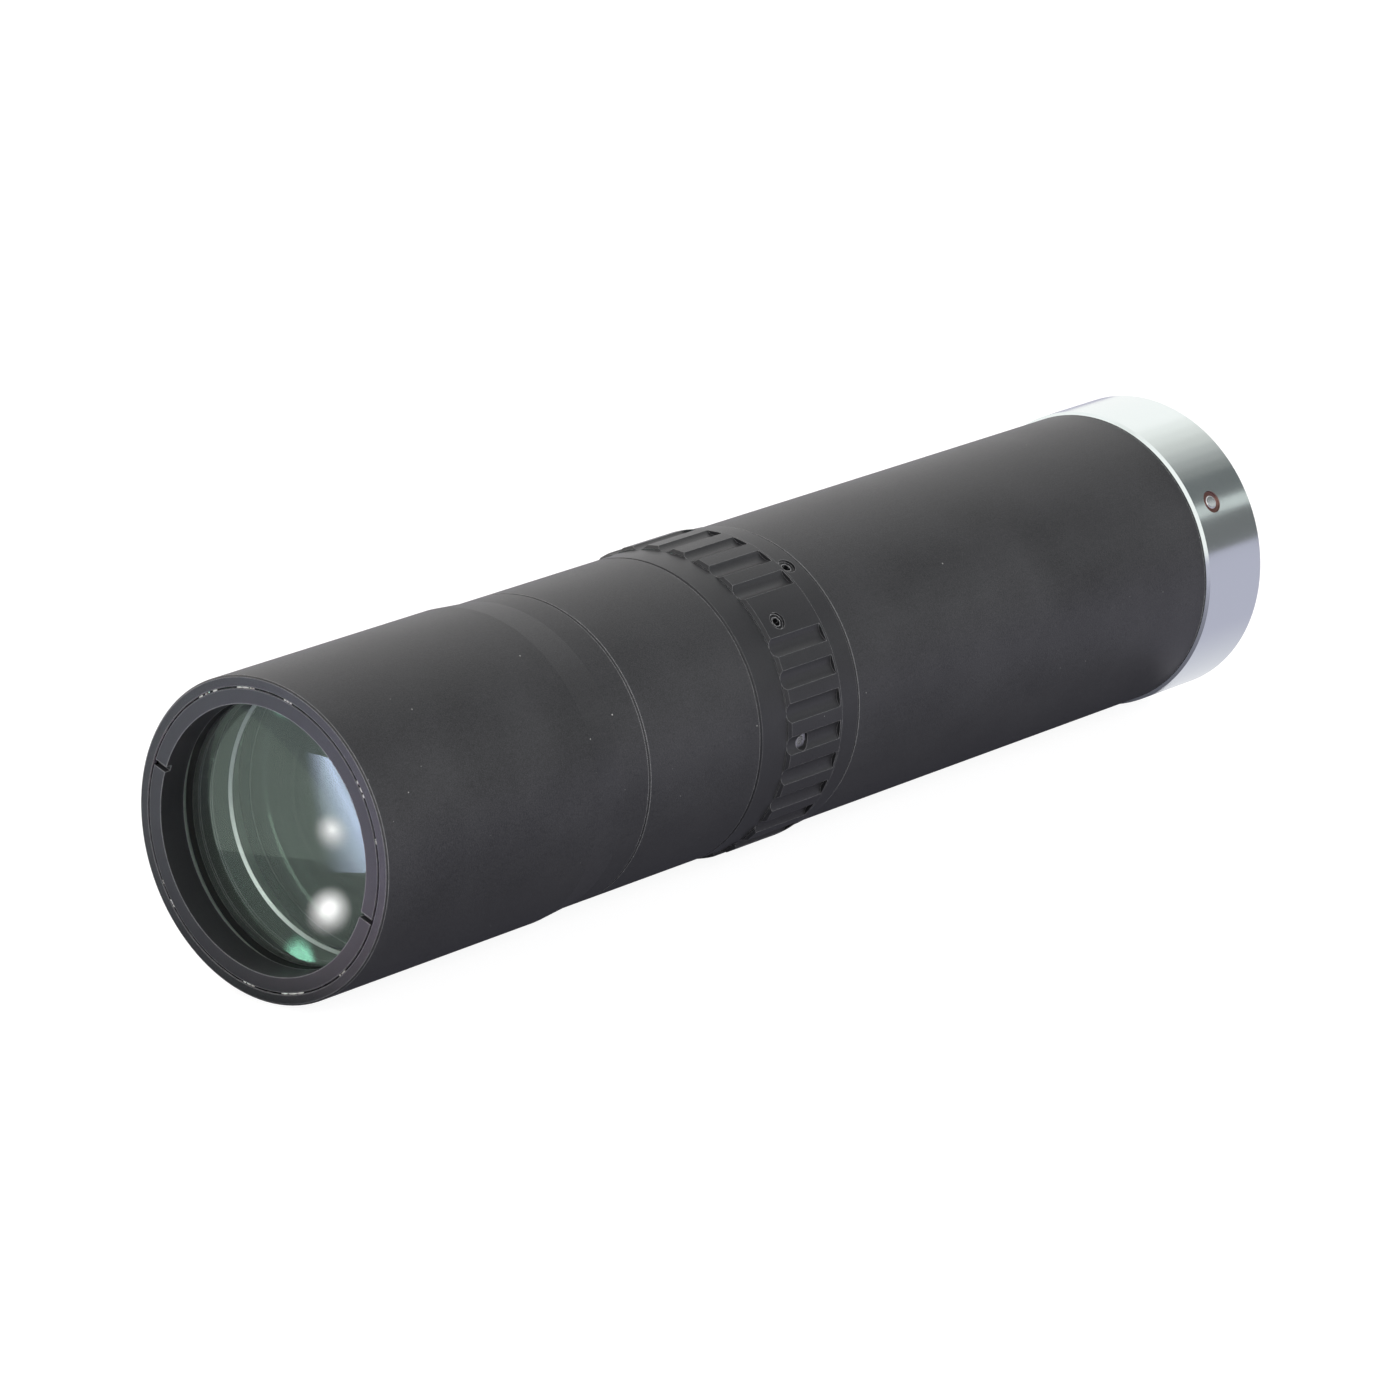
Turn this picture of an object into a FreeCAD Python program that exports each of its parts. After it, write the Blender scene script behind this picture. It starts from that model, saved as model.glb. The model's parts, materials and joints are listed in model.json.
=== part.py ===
import FreeCAD, Part
import math
import os
import Sketcher

Vector = FreeCAD.Vector
Rotation = FreeCAD.Rotation

# Driving sizes in millimetres and degrees. Stations are measured along the optical axis from the
# front face. Angles round the axis start at the side facing -Y and grow towards the top.
SIZES = [
    ("barrel_radius", 26.4, "middle and rear barrels, outside"),
    ("front_step", 0.6, "how far the front barrel stands out beyond the others"),
    ("land_height", 0.7, "how far the aperture ring's lands stand out"),
    ("band_height", 0.2, "how far the aperture ring's rear band stands out"),
    ("mount_step", 0.5, "how far the mount ring stands out"),
    ("front_straight", 50.5, "length of the front barrel's full diameter"),
    ("cone_length", 7.0, "taper from the front barrel down to the barrel diameter"),
    ("band_length", 6.3, "straight band behind the taper"),
    ("middle_length", 28.3, "visible length of the middle barrel"),
    ("ring_length", 25.5, "space that the aperture ring turns in"),
    ("rear_length", 98.0, "visible length of the rear barrel"),
    ("mount_length", 16.1, "length of the bright mount ring, to its flange face"),
    ("camera_thread_radius", 21.0, "male camera thread, outside"),
    ("camera_thread_length", 4.5, "male camera thread, length"),
    ("camera_thread_wall", 1.7, "wall inside the camera thread"),
    ("edge_chamfer", 0.3, "small chamfer at each barrel seam"),
    ("mount_chamfer", 0.5, "chamfer on both edges of the mount ring"),
    ("screwed_clearance", 0.05, "radial clearance in a screwed or glued joint"),
    ("running_clearance", 0.06, "radial clearance where a ring turns"),
    ("end_play", 0.1, "axial clearance at each end of a turning ring"),
    ("spigot_seat_wall", 1.9, "wall of the front barrel over the middle barrel's spigot"),
    ("spigot_length", 8.0, "length of that spigot"),
    ("tube_seat_wall", 2.95, "wall of a barrel over the core tube"),
    ("tube_overlap", 8.0, "core tube's length inside each barrel"),
    ("tube_wall", 2.94, "wall of the core tube round the iris"),
    ("tube_stop_height", 1.96, "step in the core tube that the iris bears on"),
    ("light_bore_wall", 5.9, "wall of the middle and rear barrels at their light path"),
    ("glass_seat_wall", 2.95, "wall of the front barrel over the lenses"),
    ("glass_shoulder_height", 2.25, "shoulder that the front group bears on"),
    ("retainer_seat_wall", 1.95, "wall of the front barrel over the retaining ring"),
    ("front_retainer_width", 2.65, "front retaining ring, width of its face"),
    ("front_retainer_length", 5.3, "front retaining ring, length"),
    ("retainer_chamfer", 0.2, "chamfers that leave a vee round the front retaining ring"),
    ("front_lens_rim", 1.8, "first lens, width of the flat rim"),
    ("front_lens_edge", 5.0, "edge thickness of the first lens"),
    ("front_lens_front_curve_radius", 150.0, "first lens, radius of its front surface"),
    ("front_lens_back_curve_radius", 300.0, "first lens, radius of its back surface"),
    ("front_spacer_length", 11.7, "spacer between first lens and doublet"),
    ("front_spacer_grooves", 2, "light trap grooves in the front spacer"),
    ("front_groove_pitch", 3.8, "their pitch"),
    ("crown_rim", 1.8, "doublet, width of the flat rim in front"),
    ("crown_bevel", 0.8, "doublet, width of the ground bevel round its front surface"),
    ("crown_edge", 2.5, "edge thickness of the doublet's crown"),
    ("crown_front_curve_radius", 90.0, "doublet, radius of its front surface"),
    ("doublet_inner_curve_radius", 70.0, "doublet, radius of its cemented surface"),
    ("flint_edge", 8.0, "edge thickness of the doublet's flint"),
    ("flint_back_curve_radius", 200.0, "doublet, radius of its back surface"),
    ("cement_thickness", 0.02, "cement between crown and flint"),
    ("trap_groove_depth", 0.35, "light trap grooves in the spacers, depth"),
    ("rear_spacer_grooves", 4, "light trap grooves in the rear spacer"),
    ("rear_groove_pitch", 1.1, "their pitch"),
    ("baffle_thickness", 1.0, "baffle discs, thickness"),
    ("front_baffle_width", 6.95, "front baffle, from its edge to its opening"),
    ("rear_baffle_width", 6.9, "rear baffle, from its edge to its opening"),
    ("rear_group_depth", 25.6, "from the rear doublet's shoulder to the barrel's rear face"),
    ("rear_seat_wall", 2.35, "wall of the rear spigot over the lenses"),
    ("rear_lens_rim", 1.7, "rear group, width of the flat rims"),
    ("rear_flint_edge", 7.2, "edge thickness of the rear doublet's flint"),
    ("rear_crown_edge", 3.5, "edge thickness of the rear doublet's crown"),
    ("rear_spacer_length", 5.0, "spacer between rear doublet and last lens"),
    ("rear_lens_edge", 5.0, "edge thickness of the last lens"),
    ("rear_retainer_length", 4.0, "rear retaining ring, length"),
    ("rear_retainer_width", 1.6, "rear retaining ring, width of its face"),
    ("rear_spigot_step", 2.5, "step from the rear barrel down to the mount's spigot"),
    ("rear_spigot_length", 9.4, "length of that spigot"),
    ("spigot_end_gap", 0.2, "gap between the spigot's end and the mount's floor"),
    ("vee_groove_depth", 0.9, "groove for the mount's set screws, depth"),
    ("spanner_slot_width", 1.0, "spanner slots in the retaining rings, width"),
    ("spanner_slot_depth", 1.2, "spanner slots in the retaining rings, depth"),
    ("spanner_slot_angle", 160.0, "angle of the spanner slots"),
    ("ring_shoulder_length", 6.7, "aperture ring, length of the front shoulder"),
    ("ring_land_length", 13.7, "length of the knurled lands"),
    ("ring_land_chamfer", 0.5, "chamfer at the front of the lands"),
    ("knurl_end_margin", 0.5, "plain end of the lands behind the grooves"),
    ("knurl_cutter_radius", 2.4, "radius of the cutter that makes the grooves"),
    ("knurl_groove_depth", 0.7, "depth of a knurl groove under the lands"),
    ("knurl_pitches", 30, "divisions round the aperture ring"),
    ("knurl_blanks", 3, "divisions left plain, for the drive screws"),
    ("blank_land_angle", 43.0, "angle of the first plain land"),
    ("small_screw_radius", 1.5, "set screws of the aperture ring"),
    ("small_socket_radius", 0.87, "their hexagon socket, over its corners"),
    ("socket_depth", 1.2, "depth of the hexagon sockets"),
    ("screw_recess", 0.4, "how far screws sit below the surface"),
    ("dog_point_radius", 1.0, "dog point of a drive screw"),
    ("dog_engagement", 1.2, "how far a dog point enters the cam ring"),
    ("drive_screw_offset", 10.9, "drive screws, behind the middle barrel"),
    ("drive_screw_angle", 40.0, "angle of the first drive screw"),
    ("lock_screw_offset", 3.1, "ring lock screws, ahead of the rear barrel"),
    ("lock_screw_angle", 60.0, "angle of the first ring lock screw"),
    ("iris_lock_offset", 10.6, "iris lock screw, behind the middle barrel"),
    ("iris_lock_angle", -5.0, "angle of the iris lock screw"),
    ("mount_screw_offset", 5.6, "mount set screws, behind the rear barrel"),
    ("mount_screw_angle", 30.5, "angle of the first mount set screw"),
    ("mount_screw_radius", 2.0, "mount set screws, radius"),
    ("mount_socket_radius", 1.16, "their hexagon socket, over its corners"),
    ("mount_screw_flat", 0.1, "radius of the flat at their cone points"),
    ("screws_round", 3, "screws in each ring of set screws"),
    ("ring_turn_angle", 60.0, "turn of the aperture ring from open to closed"),
    ("blade_turn_angle", 21.0, "turn of an iris blade over the same travel"),
    ("blade_count", 8, "iris blades"),
    ("blade_thickness", 0.15, "thickness of an iris blade"),
    ("blade_gap", 0.05, "axial gap between one blade and the next"),
    ("pin_circle_margin", 3.9, "from the cam ring's edge in to the circle of the pivots"),
    ("blade_margin", 2.0, "from the circle of the pivots in to a blade's crescent"),
    ("blade_width", 5.0, "width of a blade's crescent"),
    ("blade_span_angle", 142.0, "angle that a blade's crescent covers"),
    ("heel_height", 1.2, "heel of a blade beyond the circle of the pivots"),
    ("heel_margin_angle", 4.5, "angle of the heel beyond each pin"),
    ("drive_pin_angle", 25.0, "angle from a blade's pivot to its drive pin"),
    ("pin_radius", 0.5, "pins of a blade"),
    ("pin_clearance", 0.05, "radial clearance of pins in holes and slots"),
    ("iris_plate_step", 0.7, "how far the iris plates clear the open blades"),
    ("cam_plate_thickness", 1.0, "slotted plate of the cam ring"),
    ("cam_rim_length", 3.0, "rim of the cam ring, ahead of its plate"),
    ("cam_rim_wall", 3.0, "wall of the cam ring's rim"),
    ("iris_retainer_length", 1.8, "iris retaining ring, length"),
    ("iris_retainer_width", 2.4, "iris retaining ring, width of its face"),
    ("base_plate_thickness", 1.6, "iris base plate"),
]

doc = FreeCAD.newDocument("telecentric_lens")
sheet = doc.addObject("Spreadsheet::Sheet", "dims")
for row, (alias, number, meaning) in enumerate(SIZES, start=1):
    sheet.set(f"A{row}", alias)
    sheet.set(f"B{row}", str(number))
    sheet.setAlias(f"B{row}", alias)
    sheet.set(f"C{row}", meaning)
doc.recompute()


class Size:
    """A size as a number, with the expression that ties it to the sheet."""

    def __init__(self, number, text):
        self.number = number
        self.text = text

    def joined(self, other, sign, number):
        return Size(number, f"({self.text} {sign} {as_size(other).text})")

    def __add__(self, other):
        return self.joined(other, "+", self.number + as_size(other).number)

    def __sub__(self, other):
        return self.joined(other, "-", self.number - as_size(other).number)

    def __mul__(self, other):
        return self.joined(other, "*", self.number * as_size(other).number)

    def __truediv__(self, other):
        return self.joined(other, "/", self.number / as_size(other).number)

    def __neg__(self):
        return Size(-self.number, f"(0 - {self.text})")

    def root(self):
        return Size(math.sqrt(self.number), f"sqrt({self.text})")

    def sine(self):
        return Size(math.sin(math.radians(self.number)), f"sin({self.text})")

    def cosine(self):
        return Size(math.cos(math.radians(self.number)), f"cos({self.text})")


def as_size(value):
    return value if isinstance(value, Size) else Size(value, repr(value))


def cell(alias):
    return Size(float(sheet.get(alias)), f"dims.{alias}")


def sag(curve, radius):
    """Height of a spherical cap of the given curvature radius over a circle."""
    return curve - (curve * curve - radius * radius).root()


def bind(feature, path, value):
    feature.setExpression(path, as_size(value).text)


def count(alias):
    return int(round(float(sheet.get(alias))))


# Stations along the axis, built up from the front face.
ORIGIN = as_size(0)
FRONT_END = cell("front_straight") + cell("cone_length") + cell("band_length")
MIDDLE_END = FRONT_END + cell("middle_length")
RING_END = MIDDLE_END + cell("ring_length")
REAR_END = RING_END + cell("rear_length")
FLANGE = REAR_END + cell("mount_length")

FRONT_LENS_BACK = cell("front_retainer_length") + cell("front_lens_edge")
CROWN_FRONT = FRONT_LENS_BACK + cell("front_spacer_length")
FLINT_FRONT = CROWN_FRONT + cell("crown_edge")
FRONT_SHOULDER = FLINT_FRONT + cell("flint_edge")
SPIGOT_FRONT = FRONT_END - cell("spigot_length")
TUBE_FRONT = MIDDLE_END - cell("tube_overlap")
TUBE_END = RING_END + cell("tube_overlap")

# The iris lies where the drive screws meet the middle of the cam ring's rim.
DRIVE_STATION = MIDDLE_END + cell("drive_screw_offset")
CAM_FRONT = DRIVE_STATION - cell("cam_rim_length") / 2
CAM_PLATE_FRONT = CAM_FRONT + cell("cam_rim_length")
CAM_BACK = CAM_PLATE_FRONT + cell("cam_plate_thickness")
BLADE_PITCH = cell("blade_thickness") + cell("blade_gap")
BASE_PLATE_FRONT = CAM_BACK + BLADE_PITCH * (cell("blade_count") + 1)
BASE_PLATE_BACK = BASE_PLATE_FRONT + cell("base_plate_thickness")
IRIS_RETAINER_BACK = CAM_FRONT - cell("end_play")
IRIS_LOCK_STATION = MIDDLE_END + cell("iris_lock_offset")
LOCK_STATION = RING_END - cell("lock_screw_offset")

REAR_SEAT = REAR_END - cell("rear_group_depth")
REAR_CROWN_FRONT = REAR_SEAT + cell("rear_flint_edge")
REAR_CROWN_BACK = REAR_CROWN_FRONT + cell("rear_crown_edge")
REAR_LENS_FRONT = REAR_CROWN_BACK + cell("rear_spacer_length")
REAR_LENS_BACK = REAR_LENS_FRONT + cell("rear_lens_edge")
REAR_RETAINER_BACK = REAR_LENS_BACK + cell("rear_retainer_length")
SPIGOT_END = REAR_END + cell("rear_spigot_length")
MOUNT_SCREW_STATION = REAR_END + cell("mount_screw_offset")

# Radii, worked inwards from the barrel's outside: a seat, then what sits in it.
BARREL = cell("barrel_radius")
FRONT_BARREL = BARREL + cell("front_step")
RING_CREST = BARREL + cell("land_height")
RING_BAND = BARREL + cell("band_height")
MOUNT = BARREL + cell("mount_step")
BEYOND = FRONT_BARREL + cell("land_height")

SPIGOT_SEAT = BARREL - cell("spigot_seat_wall")
SPIGOT = SPIGOT_SEAT - cell("screwed_clearance")
TUBE_SEAT = BARREL - cell("tube_seat_wall")
TUBE = TUBE_SEAT - cell("screwed_clearance")
TUBE_BORE = TUBE - cell("tube_wall")
TUBE_STOP = TUBE_BORE - cell("tube_stop_height")
RING_BORE = TUBE + cell("running_clearance")
LIGHT_BORE = BARREL - cell("light_bore_wall")

FRONT_GLASS_SEAT = FRONT_BARREL - cell("glass_seat_wall")
FRONT_GLASS = FRONT_GLASS_SEAT - cell("screwed_clearance")
FRONT_LIGHT_BORE = FRONT_GLASS_SEAT - cell("glass_shoulder_height")
FRONT_RETAINER_SEAT = FRONT_BARREL - cell("retainer_seat_wall")
FRONT_RETAINER = FRONT_RETAINER_SEAT - cell("screwed_clearance")
FRONT_CLEAR = FRONT_GLASS - cell("front_lens_rim")
CROWN_CLEAR = FRONT_GLASS - cell("crown_rim") - cell("crown_bevel")

REAR_SPIGOT = BARREL - cell("rear_spigot_step")
REAR_GLASS_SEAT = REAR_SPIGOT - cell("rear_seat_wall")
REAR_GLASS = REAR_GLASS_SEAT - cell("screwed_clearance")
REAR_CLEAR = REAR_GLASS - cell("rear_lens_rim")
MOUNT_BORE = REAR_SPIGOT + cell("running_clearance")
CAMERA_PORT = cell("camera_thread_radius") - cell("camera_thread_wall")

IRIS_SEAT = TUBE_BORE - cell("screwed_clearance")
CAM_RING = TUBE_BORE - cell("running_clearance")
PIN_CIRCLE = CAM_RING - cell("pin_circle_margin")
BLADE_OUTER = PIN_CIRCLE - cell("blade_margin")
BLADE_INNER = BLADE_OUTER - cell("blade_width")
IRIS_PLATE_BORE = BLADE_INNER + cell("iris_plate_step")
SMALL_HOLE = cell("small_screw_radius") + cell("screwed_clearance")
MOUNT_HOLE = cell("mount_screw_radius") + cell("screwed_clearance")

pieces = []


def hand_in(piece, label):
    """Name a finished piece and move it so that the flange face is the origin."""
    piece.Label = label
    bind(piece, "Placement.Base.x", -FLANGE)
    pieces.append(piece)
    return piece


def origin_plane(body, role):
    return next(item for item in body.Origin.OriginFeatures if item.Role == role)


def new_sketch(body, name, role, station=ORIGIN, turn=0.0, axis=Vector(0, 0, 1)):
    """A sketch on one of the body's own origin planes, turned about an axis of the sketch."""
    sketch = body.newObject("Sketcher::SketchObject", name)
    sketch.AttachmentSupport = [(origin_plane(body, role), "")]
    sketch.MapMode = "FlatFace"
    sketch.AttachmentOffset = FreeCAD.Placement(Vector(0, 0, 0), Rotation(axis, turn))
    if role == "YZ_Plane":
        bind(sketch, "AttachmentOffset.Base.z", station)
    return sketch


def pin_point(sketch, geometry, end, across, up):
    """Fix one sketch point by its distances from the origin, each bound to the sheet."""
    for kind, value, axis_line in (("DistanceX", across, -2), ("DistanceY", up, -1)):
        if value.number == 0:
            sketch.addConstraint(Sketcher.Constraint("PointOnObject", geometry, end, axis_line))
        else:
            index = sketch.addConstraint(
                Sketcher.Constraint(kind, -1, 1, geometry, end, value.number))
            bind(sketch, f"Constraints[{index}]", value)


def arc_between(start, end, curve):
    """The arc of a lens surface: its centre lies on the axis, at a signed curve from the vertex."""
    vertex = start if start.y == 0 else end
    centre = Vector(vertex.x + curve, 0, 0)
    start_angle = math.atan2(start.y, start.x - centre.x)
    end_angle = math.atan2(end.y, end.x - centre.x)
    circle = Part.Circle(centre, Vector(0, 0, 1), abs(curve))
    arc = Part.ArcOfCircle(circle, min(start_angle, end_angle), max(start_angle, end_angle))
    return arc, start_angle < end_angle


def draw_outline(sketch, corners, arcs):
    """A closed outline through (station, radius) corners; arcs maps an edge to its curve."""
    points = [Vector(x.number, r.number, 0) for x, r in corners]
    ends = []
    for index, start in enumerate(points):
        end = points[(index + 1) % len(points)]
        if index in arcs:
            arc, forwards = arc_between(start, end, arcs[index].number)
            geometry = sketch.addGeometry(arc, False)
            sketch.addConstraint(Sketcher.Constraint("PointOnObject", geometry, 3, -1))
            ends.append((geometry, 1, 2) if forwards else (geometry, 2, 1))
        else:
            geometry = sketch.addGeometry(Part.LineSegment(start, end), False)
            ends.append((geometry, 1, 2))
    for index, (geometry, first, last) in enumerate(ends):
        following, following_first, _ = ends[(index + 1) % len(ends)]
        sketch.addConstraint(
            Sketcher.Constraint("Coincident", geometry, last, following, following_first))
        pin_point(sketch, geometry, first, *corners[index])


def turned(label, corners, arcs=None):
    """A body turned about the optical axis from its half section."""
    body = doc.addObject("PartDesign::Body", label)
    sketch = new_sketch(body, f"{label}_section", "XY_Plane")
    draw_outline(sketch, [(as_size(x), as_size(r)) for x, r in corners], arcs or {})
    turning = body.newObject("PartDesign::Revolution", f"{label}_turning")
    turning.Profile = sketch
    turning.ReferenceAxis = (sketch, ["H_Axis"])
    turning.Angle = 360
    sketch.Visibility = False
    return body


def pattern(body, feature, occurrences, angle):
    """Repeat a cut round the optical axis."""
    polar = body.newObject("PartDesign::PolarPattern", f"{feature.Name}_pattern")
    polar.Originals = [feature]
    polar.Axis = (origin_plane(body, "X_Axis"), [""])
    polar.Angle = angle
    polar.Occurrences = occurrences
    body.Tip = polar
    return polar


def pocket(body, sketch, name, depth, reverse=True):
    """Cut a sketch into the body along the sketch's own normal."""
    cut = body.newObject("PartDesign::Pocket", name)
    cut.Profile = sketch
    cut.Type = "Length"
    cut.Reversed = reverse
    bind(cut, "Length", depth)
    sketch.Visibility = False
    return cut


def radial_holes(body, name, station, angle, radius, reach, rows):
    """Round holes from the axis outwards, one or a ring of them."""
    sketch = new_sketch(body, f"{name}_circle", "XY_Plane", turn=90.0 - angle, axis=Vector(1, 0, 0))
    circle = Part.Circle(Vector(station.number, 0, 0), Vector(0, 0, 1), radius.number)
    geometry = sketch.addGeometry(circle, False)
    index = sketch.addConstraint(Sketcher.Constraint("Radius", geometry, radius.number))
    bind(sketch, f"Constraints[{index}]", radius)
    pin_point(sketch, geometry, 3, station, ORIGIN)
    hole = pocket(body, sketch, name, reach)
    if rows > 1:
        pattern(body, hole, rows, 360)
    return hole


def spanner_slot(body, name, station, reverse):
    """One straight slot across the end of a retaining ring, which leaves two notches in it."""
    turn = 90.0 - float(sheet.get("spanner_slot_angle"))
    sketch = new_sketch(body, f"{name}_outline", "YZ_Plane", station, turn)
    half_width = cell("spanner_slot_width") / 2
    half_length = FRONT_BARREL
    w, h = half_width.number, half_length.number
    corners = [Vector(-w, -h, 0), Vector(w, -h, 0), Vector(w, h, 0), Vector(-w, h, 0)]
    for index in range(4):
        sketch.addGeometry(Part.LineSegment(corners[index], corners[(index + 1) % 4]), False)
    for index in range(4):
        sketch.addConstraint(Sketcher.Constraint("Coincident", index, 2, (index + 1) % 4, 1))
    for index, kind in ((0, "Horizontal"), (1, "Vertical"), (2, "Horizontal"), (3, "Vertical")):
        sketch.addConstraint(Sketcher.Constraint(kind, index))
    sketch.addConstraint(Sketcher.Constraint("Symmetric", 0, 1, 1, 2, -1, 1))
    pin_point(sketch, 1, 2, half_width, half_length)
    return pocket(body, sketch, name, cell("spanner_slot_depth"), reverse)


def ring_outline(front, back, inner, outer):
    return [(front, inner), (front, outer), (back, outer), (back, inner)]


def screw(name, station, angle, head_radius, shank, socket, tip):
    """A hexagon socket set screw on a radial line, its socket end at head_radius."""
    shank_radius, shank_length = shank
    socket_radius, socket_depth = socket
    tip_radius, tip_end_radius, tip_length = tip
    thread = doc.addObject("Part::Cylinder", f"{name}_thread")
    bind(thread, "Radius", shank_radius)
    bind(thread, "Height", shank_length)
    if tip_end_radius is tip_radius:
        point = doc.addObject("Part::Cylinder", f"{name}_dog")
        bind(point, "Radius", tip_radius)
    else:
        point = doc.addObject("Part::Cone", f"{name}_point")
        bind(point, "Radius1", tip_end_radius)
        bind(point, "Radius2", tip_radius)
    bind(point, "Height", tip_length)
    bind(point, "Placement.Base.z", -tip_length)
    solid = doc.addObject("Part::Fuse", f"{name}_solid")
    solid.Base = thread
    solid.Tool = point
    recess = doc.addObject("Part::Prism", f"{name}_socket")
    recess.Polygon = 6
    bind(recess, "Circumradius", socket_radius)
    bind(recess, "Height", socket_depth)
    bind(recess, "Placement.Base.z", shank_length - socket_depth)
    whole = doc.addObject("Part::Cut", name)
    whole.Base = solid
    whole.Tool = recess
    foot = head_radius - shank_length
    turn = Rotation(Vector(1, 0, 0), 90.0 - angle.number)
    whole.Placement = FreeCAD.Placement(Vector(0, 0, 0), turn)
    bind(whole, "Placement.Base.x", station)
    bind(whole, "Placement.Base.y", -(foot * angle.cosine()))
    bind(whole, "Placement.Base.z", foot * angle.sine())
    return whole


def screw_ring(label, station, angle, rows, head_radius, shank, socket, tip):
    """A ring of like set screws, kept as one group of separate solids."""
    screws = []
    for index in range(rows):
        place = angle + index * 360.0 / rows
        screws.append(screw(f"{label}_{index + 1}", station, place, head_radius, shank, socket, tip))
    group = doc.addObject("Part::Compound", label)
    group.Links = screws
    return hand_in(group, label)


def front_barrel():
    """The widest shell: lens seat in front, spigot seat behind, taper between two diameters."""
    chamfer = cell("edge_chamfer")
    vee = cell("retainer_chamfer")
    baffle_seat = SPIGOT_FRONT - cell("baffle_thickness")
    body = turned("front_barrel", [
        (0, FRONT_RETAINER_SEAT + vee),
        (0, FRONT_BARREL - chamfer),
        (chamfer, FRONT_BARREL),
        (cell("front_straight"), FRONT_BARREL),
        (cell("front_straight") + cell("cone_length"), BARREL),
        (FRONT_END - chamfer, BARREL),
        (FRONT_END, BARREL - chamfer),
        (FRONT_END, SPIGOT_SEAT),
        (baffle_seat, SPIGOT_SEAT),
        (baffle_seat, FRONT_LIGHT_BORE),
        (FRONT_SHOULDER, FRONT_LIGHT_BORE),
        (FRONT_SHOULDER, FRONT_GLASS_SEAT),
        (cell("front_retainer_length"), FRONT_GLASS_SEAT),
        (cell("front_retainer_length"), FRONT_RETAINER_SEAT),
        (vee, FRONT_RETAINER_SEAT),
    ])
    return hand_in(body, "front_barrel")


def front_retaining_ring():
    """The threaded ring that holds the front group, with two spanner slots in its face."""
    vee = cell("retainer_chamfer")
    bore = FRONT_RETAINER - cell("front_retainer_width")
    body = turned("front_retaining_ring", [
        (0, bore),
        (0, FRONT_RETAINER - vee),
        (vee, FRONT_RETAINER),
        (cell("front_retainer_length"), FRONT_RETAINER),
        (cell("front_retainer_length"), bore),
    ])
    spanner_slot(body, "front_spanner_slot", ORIGIN, True)
    return hand_in(body, "front_retaining_ring")


def lens(label, front, back, edge_radius, front_surface, back_surface, bevel=None):
    """A lens with a polished cap on each side. A surface is (cap radius, curve, +1 if it bulges)."""
    front_cap, front_curve, front_bulge = front_surface
    back_cap, back_curve, back_bulge = back_surface
    cap_front = front - bevel if bevel else front
    front_vertex = cap_front - sag(front_curve, front_cap) * front_bulge
    back_vertex = back + sag(back_curve, back_cap) * back_bulge
    corners = [(front_vertex, ORIGIN), (cap_front, front_cap)]
    if bevel:
        corners.append((front, front_cap + bevel))
    if front_cap.text != edge_radius.text:
        corners.append((front, edge_radius))
    corners.append((back, edge_radius))
    if back_cap.text != edge_radius.text:
        corners.append((back, back_cap))
    corners.append((back_vertex, ORIGIN))
    back_arc = len(corners) - 2
    arcs = {0: front_curve * front_bulge, back_arc: -(back_curve * back_bulge)}
    return hand_in(turned(label, corners, arcs), label)


def grooved_spacer(front, back, bore, outer, grooves, pitch):
    """A spacer whose bore has a row of small vee grooves that trap stray light."""
    depth = cell("trap_groove_depth")
    corners = [(front, bore), (front, outer), (back, outer), (back, bore)]
    for index in reversed(range(grooves)):
        start = front + pitch / 2 + pitch * index
        corners += [(start + depth * 2, bore), (start + depth, bore + depth), (start, bore)]
    return corners


def front_group():
    """First lens, spacer and cemented doublet, in the order that they drop into the barrel."""
    inner_curve = cell("doublet_inner_curve_radius")
    lens("front_lens", cell("front_retainer_length"), FRONT_LENS_BACK, FRONT_GLASS,
         (FRONT_CLEAR, cell("front_lens_front_curve_radius"), 1),
         (FRONT_CLEAR, cell("front_lens_back_curve_radius"), 1))
    spacer = grooved_spacer(FRONT_LENS_BACK, CROWN_FRONT, FRONT_CLEAR, FRONT_GLASS,
                            count("front_spacer_grooves"), cell("front_groove_pitch"))
    hand_in(turned("front_spacer", spacer), "front_spacer")
    lens("front_crown_lens", CROWN_FRONT, FLINT_FRONT - cell("cement_thickness"), FRONT_GLASS,
         (CROWN_CLEAR, cell("crown_front_curve_radius"), 1), (FRONT_GLASS, inner_curve, 1),
         cell("crown_bevel"))
    lens("front_flint_lens", FLINT_FRONT, FRONT_SHOULDER, FRONT_GLASS,
         (FRONT_GLASS, inner_curve, -1), (FRONT_LIGHT_BORE, cell("flint_back_curve_radius"), 1))


def baffles():
    """Two thin discs with round openings, each clamped against a shoulder."""
    front = SPIGOT_FRONT - cell("baffle_thickness")
    hand_in(turned("front_baffle", ring_outline(
        front, SPIGOT_FRONT, SPIGOT - cell("front_baffle_width"), SPIGOT)), "front_baffle")
    hand_in(turned("rear_baffle", ring_outline(
        TUBE_END, TUBE_END + cell("baffle_thickness"), TUBE - cell("rear_baffle_width"),
        TUBE)), "rear_baffle")


def middle_barrel():
    """The shell between the front barrel and the aperture ring."""
    chamfer = cell("edge_chamfer")
    body = turned("middle_barrel", [
        (SPIGOT_FRONT, LIGHT_BORE),
        (SPIGOT_FRONT, SPIGOT),
        (FRONT_END, SPIGOT),
        (FRONT_END, BARREL - chamfer),
        (FRONT_END + chamfer, BARREL),
        (MIDDLE_END - chamfer, BARREL),
        (MIDDLE_END, BARREL - chamfer),
        (MIDDLE_END, TUBE_SEAT),
        (TUBE_FRONT, TUBE_SEAT),
        (TUBE_FRONT, LIGHT_BORE),
    ])
    return hand_in(body, "middle_barrel")


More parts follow.
